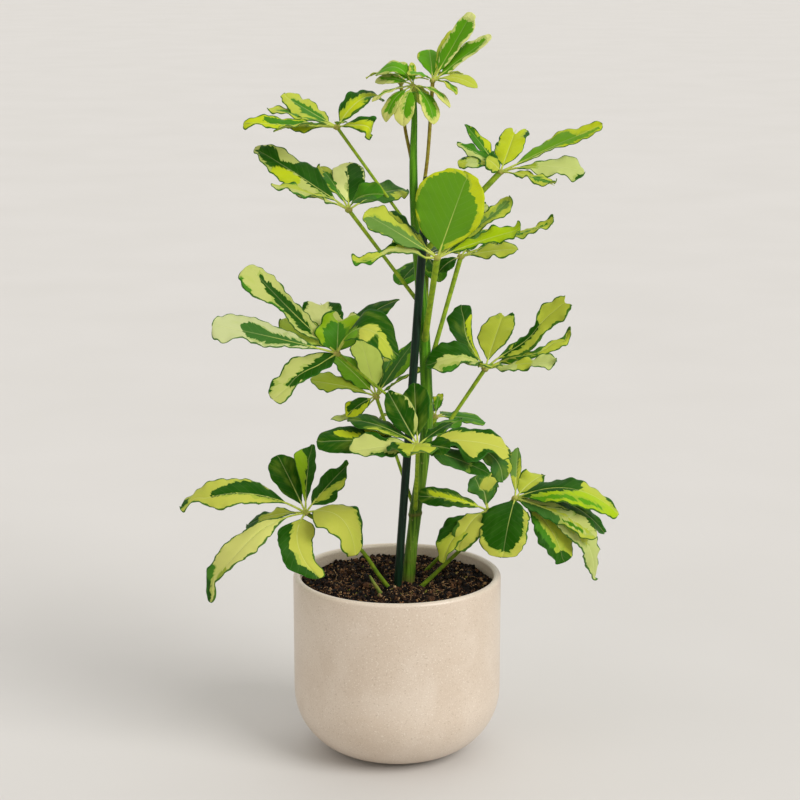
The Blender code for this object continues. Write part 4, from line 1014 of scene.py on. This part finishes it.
def blade_blank():
    """A flat square sheet of quads, from -1 to 1 both ways, that every blade is bent from."""
    bpy.ops.mesh.primitive_grid_add(x_subdivisions=BLADE_ACROSS, y_subdivisions=BLADE_ALONG, size=2)
    return bpy.context.view_layer.objects.active


def through(knots, values, places):
    """A smooth curve through the values at the knots, read at the places."""
    knots, values = np.array(knots, float), np.array(values, float)
    steps = np.diff(knots)
    slopes = np.diff(values) / steps
    inner = (slopes[:-1] * steps[1:] + slopes[1:] * steps[:-1]) / (steps[:-1] + steps[1:])
    slopes = np.concatenate([slopes[:1], inner, slopes[-1:]])
    i = np.clip(np.searchsorted(knots, places, side="right") - 1, 0, len(steps) - 1)
    t = (places - knots[i]) / steps[i]
    a, b = slopes[i] * steps[i], slopes[i + 1] * steps[i]
    start, end = values[i], values[i + 1]
    return start + t * (a + t * (3 * (end - start) - 2 * a - b + t * (2 * (start - end) + a + b)))


def scallops(leaflet, v, seed, side):
    """Small lobes of the margin at each v, in mm."""
    phase = seed * 2.3 + side * 1.3
    along = v * leaflet.reach
    waves = np.sin(along * 0.62 + phase) + 0.8 * np.sin(along * 1.13 + phase * 2.1)
    return waves * leaflet.wave * 0.16 * np.minimum(1, v * 5)


def outline(leaflet, v, seed):
    """Where the blade's left and right margins and its midrib lie at each v, in mm from its straight line."""
    if leaflet.left:
        cap = np.sqrt(np.clip(1 - ((v - KNOTS[-1]) / (1 - KNOTS[-1])) ** 2, 0, 1))
        cap = np.where(v > KNOTS[-1], np.maximum(cap, BLUNT_CAP if leaflet.notch else 0), 1)
        left, right = np.array(leaflet.left, float), np.array(leaflet.right, float)
        half, middle = (left + right) / 2, (right - left) / 2
        lean = middle - np.clip(middle, -half * MOST_LEAN, half * MOST_LEAN)
        knots = (0, *KNOTS, 1)
        half = through(knots, (0.5, *half, half[-1]), v) * cap
        middle = through(knots, (0, *middle, middle[-1]), v)
        lean = through(knots, (0, *lean, middle[-1]), v)
        middle = lean + (middle - lean) * cap
        half = np.maximum(half, TIP_WIDTH / 2)
        near, far = [scallops(leaflet, v, seed, side) * cap * np.minimum(1, half / 6) for side in (-1, 1)]
        return middle - half - near, middle + half + far, lean
    half = np.maximum(blade_half(v, leaflet.widest) * leaflet.width, TIP_WIDTH) / 2
    sides = []
    for side in (-1, 1):
        phase = seed * 2.9 + side * 1.9
        lobes = 2.6 + 0.9 * math.sin(seed * 5.1 + side)
        scallop = np.abs(np.sin(math.pi * lobes * v + phase)) - 0.6
        growth = 0.1 * leaflet.wave * np.clip(v * 2 - 0.5, 0, 1)
        sides.append(half * (1 + growth * scallop + 0.02 * np.sin(v * 41 + phase * 1.6)))
    return -sides[0], sides[1], np.zeros_like(v)


def patch_marks(leaflet, x, v):
    """For each point the gap to the nearest patch, under 0 inside it, and that patch's colour."""
    gap = np.full(len(x), 99.0)
    colour = np.tile(linear(COLOURS["dark"]), (len(x), 1))
    for name, *rows in leaflet.patches:
        places, low, high = np.array(rows, float).T
        low, high = np.interp(v, places, low), np.interp(v, places, high)
        ends = np.maximum(places[0] - v, v - places[-1]) * leaflet.reach
        here = np.maximum(np.maximum(low - x, x - high), ends)
        nearer = here < gap
        gap[nearer] = here[nearer]
        colour[nearer] = linear(COLOURS[name])
    return gap, colour


def bent_blade(blank, name, leaflet, hub, seed):
    """A copy of the flat sheet, cut to the leaflet's outline, bent along its midrib and ruffled."""
    mesh = blank.data.copy()
    obj = linked(name, mesh)
    flat = points_of(mesh)
    across, along = flat[:, 0], (flat[:, 1] + 1) / 2
    side = np.sign(across)
    u = side * np.abs(across) ** CROWD_ACROSS
    v = 1 - (1 - along) ** CROWD_ALONG
    s = leaflet.stem + (1 - leaflet.stem) * v
    left, right, lean = outline(leaflet, v, seed)
    reach = np.where(u < 0, lean - left, right - lean)
    off = u * reach

    # The margins wave, the halves fold up and curl down, and a groove follows the midrib.
    in_blade = np.minimum(1, v * 4)
    fold = math.radians(leaflet.fold)
    half = np.maximum((right - left) / 2, 0.5)
    rim = np.abs(u) ** 1.7 * in_blade
    plain = blade_half(v, leaflet.widest) * leaflet.width / 2
    beyond = np.where(u < 0, plain + left, 0) + np.where(u > 0, plain - right, 0)
    lift = np.abs(off) * math.sin(fold) * in_blade
    lift += rim * leaflet.wave * 0.95 * margin_wave(v, side, seed)
    lift += rim * np.clip(beyond, -LOBE_LIMIT, LOBE_LIMIT) * LOBE_LIFT
    phase = seed * 2.9 + side * 1.9
    lift += rim**2 * leaflet.wave * 0.4 * np.sin(v * leaflet.reach * 0.62 + phase * 2.2)
    lift -= leaflet.curl * half * u * u * in_blade
    lift -= GROOVE_DEPTH * np.exp(-((off / GROOVE_WIDTH) ** 2)) * in_blade

    # The tip turns up and back, and a blunt one is dented.
    turned_up = np.clip((v - TIP_START) / (1 - TIP_START), 0, 1)
    lift += leaflet.tip * turned_up**2
    dent = np.clip(1 - (u / NOTCH_SHARE) ** 2, 0, 1) - 0.9 * np.clip(np.abs(u) - NOTCH_SHARE, 0, 1)
    s = s - leaflet.notch / leaflet.reach * dent * v**5
    s = s - abs(leaflet.tip) / leaflet.reach * 0.3 * turned_up**3
    place, sideways, up = Midrib(leaflet, hub).frame(s)
    points = place + sideways * (lean + off * math.cos(fold))[:, None] + up * lift[:, None]
    move_points(mesh, points * MM)

    names = leaflet.field.split()
    share = np.clip(u / HALVES_BLEND + 0.5, 0, 1)[:, None]
    first, last = [np.array(linear(COLOURS[names[i]])) for i in (0, -1)]
    gap, patch = patch_marks(leaflet, lean + off, v)
    none = np.zeros(len(flat))
    mark(mesh, "blade", np.stack([off, s * leaflet.reach, none + seed * 3.7], 1))
    mark(mesh, "spot", np.stack([u, v, reach], 1))
    mark(mesh, "marks", np.stack([gap, none + leaflet.rim, none], 1))
    mark(mesh, "field", first * (1 - share) + last * share)
    mark(mesh, "patch", patch)
    mark(mesh, "stalk", none)
    return obj


def thickened(obj):
    """Give the sheet of blades its thickness, and mark the lower side."""
    sheet = len(obj.data.vertices)
    shell = obj.modifiers.new("shell", "SOLIDIFY")
    shell.thickness = BLADE_THICK * MM
    shell.offset = -1.0
    activate(obj)
    bpy.ops.object.modifier_apply(modifier=shell.name)
    values = np.empty(len(obj.data.vertices) * 3, np.float32)
    obj.data.attributes["marks"].data.foreach_get("vector", values)
    values = values.reshape(-1, 3)
    values[sheet:, 2] = 1
    mark(obj.data, "marks", values)
    return obj


def mark_stalk(obj, tones):
    """Colour a stalk or hub with two tones that mingle."""
    for name, tone in zip(("field", "patch"), tones):
        mark(obj.data, name, linear(tone))
    mark(obj.data, "stalk", 1)
    return obj


def trunk_at(height):
    """The trunk's centre at a height."""
    for low, high in zip(TRUNK, TRUNK[1:]):
        if height <= high[2]:
            share = (height - low[2]) / (high[2] - low[2])
            return Vector(low[:3]).lerp(Vector(high[:3]), share)
    return Vector(TRUNK[-1][:3])


def petiole_path(leaf):
    """The leaf stalk's centre line and radius, from its foot to just inside the hub."""
    rooted = isinstance(leaf.foot, tuple)
    foot = Vector((*leaf.foot, SOIL_LEVEL)) if rooted else trunk_at(leaf.foot)
    hub = Vector(leaf.hub)
    middle = foot.lerp(hub, 0.5) + Vector(leaf.bow)
    places = ((foot, 1.3), (foot.lerp(middle, 0.35), 1.1), (middle, 1.0), (hub, 1.1))
    path = smooth_path([(*place, leaf.radius * share) for place, share in places], 10)
    if rooted:
        path.insert(0, path[0] - Vector((0, 0, ROOT_DEPTH, 0)))
    return path


def hub_knob(name, centre, radius):
    """The knuckle where the leaflets meet: a ball drawn out and dented by its stalks."""
    bpy.ops.mesh.primitive_uv_sphere_add(segments=20, ring_count=12, radius=radius * MM)
    obj = bpy.context.view_layer.objects.active
    obj.name = name
    points = points_of(obj.data)
    for point in points:
        dent = noise.noise(Vector(point) / MM * 0.8 + Vector(centre))
        point *= 1 + HUB_DENT * dent
    points[:, 2] *= HUB_FLATNESS
    move_points(obj.data, points + np.array(centre) * MM)
    return obj


def rib_path(leaflet, hub, seed):
    """A leaflet's own stalk, which goes on under the blade as its midrib."""
    s = np.linspace(0, RIB_END, 22)
    place, side, up = Midrib(leaflet, hub).frame(s)
    v = np.clip((s - leaflet.stem) / (1 - leaflet.stem), 0, 1)
    lean = outline(leaflet, v, seed)[2]
    size = min(1.0, 0.55 + leaflet.reach / 120)
    radius = RIB_RADIUS * size * (1 - RIB_TAPER * s**0.7)
    sunk = np.clip((s - leaflet.stem) / 0.1, 0, 1)
    place = place + side * lean[:, None] - up * (sunk * (BLADE_THICK * 0.5 + 0.3 + radius * 0.35))[:, None]
    return [(*p, r) for p, r in zip(place, radius)]


def grow_leaf(blank, name, leaf, number, material):
    """One whole compound leaf: stalk, hub, leaflet stalks, ribs and blades."""
    seeds = [number * 3 + i for i in range(len(leaf.leaflets))]
    grown = list(zip(leaf.leaflets, seeds))
    blades = [bent_blade(blank, f"{name}_{seed}", leaflet, leaf.hub, seed) for leaflet, seed in grown]
    sheet = thickened(joined(name + "_blades", blades))
    ribs = tubes(name + "_ribs", [rib_path(leaflet, leaf.hub, seed) for leaflet, seed in grown], 2)
    young = name.startswith("leaf_crown")
    knob = hub_knob(name + "_hub", leaf.hub, SMALL_HUB_RADIUS if young else HUB_RADIUS)
    parts = [sheet, mark_stalk(ribs, RIB_TONES), mark_stalk(knob, HUB_TONES)]
    if name != "leaf_crown":
        stalk = tubes(name + "_stalk", [petiole_path(leaf)], 4)
        family = "_".join(name.split("_")[:2])
        parts.append(mark_stalk(stalk, STALK_TONES.get(family, OTHER_STALK_TONES)))
    piece = joined(name.removeprefix("leaf_") + "_leaf", parts)
    smooth(piece)
    settle(piece, material, "leaf", name)


def ground(points):
    """How far the soil's surface stands above or below its level at each point."""
    out = np.hypot(points[:, 0], points[:, 1]) / (POT_RADIUS - POT_WALL)
    lift = SOIL_MOUND * (1 - out * out)
    for i, (x, y, _) in enumerate(points):
        for size, height, level in SOIL_LUMPS:
            lift[i] += noise.noise(Vector((x, y, level)) / size) * height
    return lift


def strewn(edge, draw):
    """A random place on the soil, this far or more from the pot's inner wall."""
    out = (POT_RADIUS - POT_WALL - edge) * math.sqrt(draw.random())
    turn = draw.random() * math.tau
    return np.array([out * math.cos(turn), out * math.sin(turn), SOIL_LEVEL]), turn


def fibre_path(draw):
    """One thin root fibre that lies bent on the soil."""
    spot, turn = strewn(8, draw)
    heading = draw.uniform(0, math.tau)
    bend = draw.uniform(-0.5, 0.5)
    step = draw.uniform(0.5, 1.4)
    path = []
    for i in range(6):
        height = ground(spot[None])[0] + 0.7 + 0.5 * math.sin(i * 1.3 + turn)
        path.append((spot[0], spot[1], SOIL_LEVEL + height, FIBRE_RADIUS * (1 - i / 9)))
        spot = spot + [step * math.cos(heading), step * math.sin(heading), 0]
        heading += bend
    return path


def scattered(name, level, count, size, lightest, draw):
    """Loose crumbs on the soil: one small lump, copied, dented and strewn, in tones up to lightest."""
    bpy.ops.mesh.primitive_ico_sphere_add(subdivisions=level, radius=1)
    lump = bpy.context.view_layer.objects.active
    shape = points_of(lump.data)
    faces = np.array([face.vertices[:] for face in lump.data.polygons])
    bpy.data.objects.remove(lump)
    points, tones = [], []
    for _ in range(count):
        spot, _ = strewn(1.2, draw)
        spot[2] += ground(spot[None])[0]
        radius = size * draw.lognormal(0, CRUMB_SPREAD)
        basis, _ = np.linalg.qr(draw.normal(size=(3, 3)))
        stretch = draw.uniform(*CRUMB_STRETCH, 3)
        dents = 1 + draw.uniform(-CRUMB_DENT, CRUMB_DENT, len(shape))
        body = (shape * dents[:, None] * stretch) @ basis * radius
        points.append(body + spot + [0, 0, radius * draw.uniform(*CRUMB_LIFT)])
        tones.append(np.full(len(shape), lightest * draw.beta(*CRUMB_TONES)))
    mesh = bpy.data.meshes.new(name)
    offsets = np.arange(count)[:, None, None] * len(shape)
    all_faces = (faces[None] + offsets).reshape(-1, 3)
    mesh.from_pydata((np.concatenate(points) * MM).tolist(), [], all_faces.tolist())
    crumbs = linked(name, mesh)
    mark(mesh, "tone", np.concatenate(tones))
    return clean(crumbs)


def tint(name, description, code):
    """A colour that the user can change, from six hexadecimal digits."""
    return bpy.props.FloatVectorProperty(
        name=name, description=description, subtype="COLOR", size=4, min=0, max=1, default=linear(code)
    )


def length(name, description, default, low, high):
    """A size that the user can change."""
    return bpy.props.FloatProperty(
        name=name, description=description, unit="LENGTH", default=default, min=low, max=high
    )


def factor(name, description, default):
    """A share from 0 to 1 that the user can change."""
    return bpy.props.FloatProperty(
        name=name, description=description, subtype="FACTOR", default=default, min=0, max=1
    )


class PotSettings(bpy.types.PropertyGroup):
    """The pot's glaze."""

    glaze: tint("Glaze", "Main colour of the glaze", "d6c8b8")
    shade: tint("Shade", "Colour of the glaze's darker clouds", "cdbdab")
    light: tint("Light", "Colour of the glaze's lighter streaks", "e6ddd0")
    speck: tint("Speck", "Colour of the dark specks", "8c7455")
    speck_size: length("Speck size", "Size of the specks in the glaze", 0.0009, 0.0002, 0.005)


class SoilSettings(bpy.types.PropertyGroup):
    """The soil and what lies on it."""

    crumbs: bpy.props.IntProperty(
        name="Crumbs", description="Number of loose crumbs on the soil", default=5600, min=100, max=9000
    )
    crumb_size: length("Crumb size", "Radius of a middling crumb", 0.00062, 0.0003, 0.004)
    fibres: bpy.props.IntProperty(
        name="Fibres", description="Number of thin root fibres on the soil", default=240, min=0, max=400
    )
    seed: bpy.props.IntProperty(name="Seed", description="Start of the crumbs' random places", default=7)
    relief: factor("Relief", "Strength of the fine relief", 0.8)


class StemSettings(bpy.types.PropertyGroup):
    """The trunk's bark and the cane."""

    bark: tint("Bark", "Main colour of the bark", "2f6206")
    bark_light: tint("Bark ridges", "Colour of the bark's ridges", "5f9a1a")
    cane: tint("Cane", "Main colour of the cane", "06190e")
    cane_light: tint("Cane streaks", "Colour of the cane's streaks", "12331e")


class LeafSettings(bpy.types.PropertyGroup):
    """The blades' finish."""

    jag: length("Jag", "How far the colours reach into each other along the veins", 0.0021, 0, 0.02)
    relief: factor("Relief", "Strength of the veins' relief", 0.55)


class PLANT_OT_stage(bpy.types.Operator):
    """Set the floor, the studio lights and the camera"""

    bl_idname = "plant.stage"
    bl_label = "Stage"

    def execute(self, context):
        cells = FLOOR_CELLS
        bpy.ops.mesh.primitive_grid_add(x_subdivisions=cells, y_subdivisions=cells, size=FLOOR_SIZE)
        floor = context.view_layer.objects.active
        floor.name = "floor"
        points = points_of(floor.data)
        past = np.clip(np.hypot(points[:, 0], points[:, 1]) - FLOOR_FLAT, 0, FLOOR_SWEEP)
        points[:, 2] = FLOOR_RISE * past**2
        move_points(floor.data, points)
        smooth(floor)
        paint = Paint("floor")
        cloud = paint.noise(paint.place(), 220, 2)
        paint.colour = paint.mix(cloud, *FLOOR_TONES)
        floor.data.materials.append(paint.finish({"Roughness": 0.8}))
        world = bpy.data.worlds.new("studio")
        world.use_nodes = True
        background = world.node_tree.nodes["Background"].inputs
        background["Color"].default_value = linear(SKY_TONE)
        background["Strength"].default_value = SKY_POWER
        context.scene.world = world
        for name, place, spread, power, colour in LIGHTS:
            bpy.ops.object.light_add(type="SUN", location=place)
            light = context.view_layer.objects.active
            light.name = name
            light.data.angle = math.radians(spread)
            light.data.energy = power
            light.data.color = colour
            light.rotation_euler = (-Vector(place)).to_track_quat("-Z", "Y").to_euler()
        bpy.ops.object.camera_add(location=CAMERA_PLACE, rotation=(math.radians(CAMERA_TILT), 0, 0))
        camera = context.view_layer.objects.active
        camera.data.lens = CAMERA_LENS
        camera.data.sensor_width = CAMERA_SENSOR
        context.scene.camera = camera
        context.scene.view_settings.view_transform = "Standard"
        deselect()
        return {"FINISHED"}


class PLANT_OT_pot(bpy.types.Operator):
    """Turn the glazed pot"""

    bl_idname = "plant.pot"
    bl_label = "Pot"

    def execute(self, context):
        lip = POT_WALL / 2
        outer = bowl(0, 0, POT_HEIGHT - lip, 24)
        rim = arc((POT_RADIUS - lip, POT_HEIGHT - lip), lip, 0, 180, 14)
        inner = bowl(POT_WALL, POT_FLOOR, POT_HEIGHT - lip, 16)
        wall = [(POT_RADIUS, POT_CORNER + i * 12) for i in range(1, 6)]
        pot = turned("glazed_pot", [*outer[:-1], *wall, *rim, *inner[-2::-1]], POT_SIDES)
        smooth(pot, 40)
        settle(pot, glaze_material(context.scene.plant_pot), "glaze", "pot")
        return {"FINISHED"}


class PLANT_OT_soil(bpy.types.Operator):
    """Fill the pot with soil and scatter crumbs on it"""

    bl_idname = "plant.soil"
    bl_label = "Soil"

    def execute(self, context):
        settings = context.scene.plant_soil
        material = soil_material(settings)
        room = POT_WALL + SOIL_GAP
        rings = [(r, SOIL_LEVEL) for r in np.linspace(POT_RADIUS - room, 0.5, SOIL_RINGS)[1:]]
        soil = turned("potting_soil", [*bowl(room, POT_FLOOR + SOIL_GAP, SOIL_LEVEL, 12), *rings], SOIL_SIDES)
        points = points_of(soil.data) / MM
        top = points[:, 2] > SOIL_LEVEL - 0.5
        points[top, 2] += ground(points[top])
        move_points(soil.data, points * MM)
        # Painted shade as well as the peat's own dark: the soil's body is near black so the gaps between
        # crumbs look shadowed.
        mark(soil.data, "tone", SOIL_TONE_AND_GAP_SHADE)
        smooth(soil)
        settle(soil, material, "soil", "soil")

        draw = np.random.default_rng(settings.seed)
        size = settings.crumb_size / MM
        coarse = scattered("coarse_crumbs", 2, COARSE_CRUMBS, size * COARSE_SIZE, COARSE_TONE, draw)
        fine = scattered("fine_crumbs", 1, settings.crumbs, size, 1.0, draw)
        fibres = tubes("root_fibres", [fibre_path(draw) for _ in range(settings.fibres)], 1)
        mark(fibres.data, "tone", FIBRE_TONE)
        for crumbs in (coarse, fine, fibres):
            settle(crumbs, material, "soil")
        return {"FINISHED"}


class PLANT_OT_trunk(bpy.types.Operator):
    """Grow the trunk, with its leaf scars"""

    bl_idname = "plant.trunk"
    bl_label = "Trunk"

    def execute(self, context):
        path = smooth_path(TRUNK, 14)
        trunk = tubes("green_trunk", [path], 8)
        points = points_of(trunk.data) / MM
        centres = np.array([point[:3] for point in path])
        cork = np.zeros(len(points))
        for i, point in enumerate(points):
            centre = centres[np.abs(centres[:, 2] - point[2]).argmin()]
            out = point - (centre[0], centre[1], point[2])
            turn = math.atan2(out[1], out[0])
            ridge = noise.noise(Vector((math.cos(turn) * 2.2, math.sin(turn) * 2.2, point[2] / 46)))
            swell = BARK_RIDGE * ridge
            for height, deep in SCARS:
                gap = point[2] - height - 0.7 * math.sin(turn + height)
                ring = math.exp(-((gap / SCAR_WIDTH) ** 2))
                swell += SCAR_SWELL * deep * ring
                cork[i] += SCAR_CORK * deep * ring
            cork[i] += FOOT_CORK * max(0.0, 1 - (point[2] - SOIL_LEVEL) / FOOT_CORK_HEIGHT)
            points[i] += out * swell
        move_points(trunk.data, points * MM)
        mark(trunk.data, "cork", np.clip(cork, 0, 1))
        smooth(trunk, 60)
        settle(trunk, bark_material(context.scene.plant_stem), "bark", "trunk")
        return {"FINISHED"}


class PLANT_OT_cane(bpy.types.Operator):
    """Set the support cane"""

    bl_idname = "plant.cane"
    bl_label = "Cane"

    def execute(self, context):
        foot, top = Vector(CANE_FOOT), Vector(CANE_TOP)
        end = CANE_ROUND / (top - foot).length
        rings = [(i / 60 * (1 - end), CANE_RADIUS) for i in range(61)]
        for angle in np.radians(range(15, 105, 15)):
            radius = CANE_RADIUS - CANE_ROUND + CANE_ROUND * math.cos(angle)
            rings.append((1 - end + end * math.sin(angle), radius))
        cane = tubes("support_cane", [[(*foot.lerp(top, along), radius) for along, radius in rings]], 8)
        smooth(cane, 60)
        settle(cane, cane_material(context.scene.plant_stem), "cane", "cane")
        return {"FINISHED"}


class PLANT_OT_dry_stalk(bpy.types.Operator):
    """Leave the dry stalk end in the soil"""

    bl_idname = "plant.dry_stalk"
    bl_label = "Dry stalk"

    def execute(self, context):
        stalk = tubes("dry_stalk_end", [smooth_path(STALK, 8)], 4)
        points = points_of(stalk.data)
        for i, point in enumerate(points):
            dent = noise.noise(Vector(point) / MM * 0.55)
            points[i] += np.array((0.4, 1, 0.4)) * dent * 0.35 * MM
        move_points(stalk.data, points)
        smooth(stalk, 60)
        settle(stalk, dry_material(), "dry_stalk", "dry_stalk")
        return {"FINISHED"}


class PLANT_OT_leaves(bpy.types.Operator):
    """Grow every compound leaf"""

    bl_idname = "plant.leaves"
    bl_label = "Leaves"

    def execute(self, context):
        material = leaf_material(context.scene.plant_leaf)
        blank = blade_blank()
        for number, (name, leaf) in enumerate(LEAVES.items()):
            grow_leaf(blank, name, leaf, number, material)
        bpy.data.objects.remove(blank)
        return {"FINISHED"}


class PLANT_PT_panel(bpy.types.Panel):
    """Lists the plant's makers in the sidebar"""

    bl_idname = "PLANT_PT_panel"
    bl_label = "Umbrella plant"
    bl_space_type = "VIEW_3D"
    bl_region_type = "UI"
    bl_category = "Plant"

    def draw(self, context):
        for maker in MAKERS:
            self.layout.operator(maker.bl_idname)
        for group in GROUPS:
            settings = getattr(context.scene, group)
            for name in settings.__annotations__:
                self.layout.prop(settings, name)


MAKERS = (
    PLANT_OT_stage,
    PLANT_OT_pot,
    PLANT_OT_soil,
    PLANT_OT_trunk,
    PLANT_OT_cane,
    PLANT_OT_dry_stalk,
    PLANT_OT_leaves,
)
GROUPS = {
    "plant_pot": PotSettings,
    "plant_soil": SoilSettings,
    "plant_stem": StemSettings,
    "plant_leaf": LeafSettings,
}


def register():
    for kind in (*GROUPS.values(), *MAKERS, PLANT_PT_panel):
        bpy.utils.register_class(kind)
    for name, kind in GROUPS.items():
        setattr(bpy.types.Scene, name, bpy.props.PointerProperty(type=kind))


def unregister():
    for name in GROUPS:
        delattr(bpy.types.Scene, name)
    for kind in (PLANT_PT_panel, *reversed(MAKERS), *GROUPS.values()):
        bpy.utils.unregister_class(kind)


def main():
    register()
    deselect()
    for maker in MAKERS:
        family, name = maker.bl_idname.split(".")
        getattr(getattr(bpy.ops, family), name)()


if __name__ == "__main__":
    main()
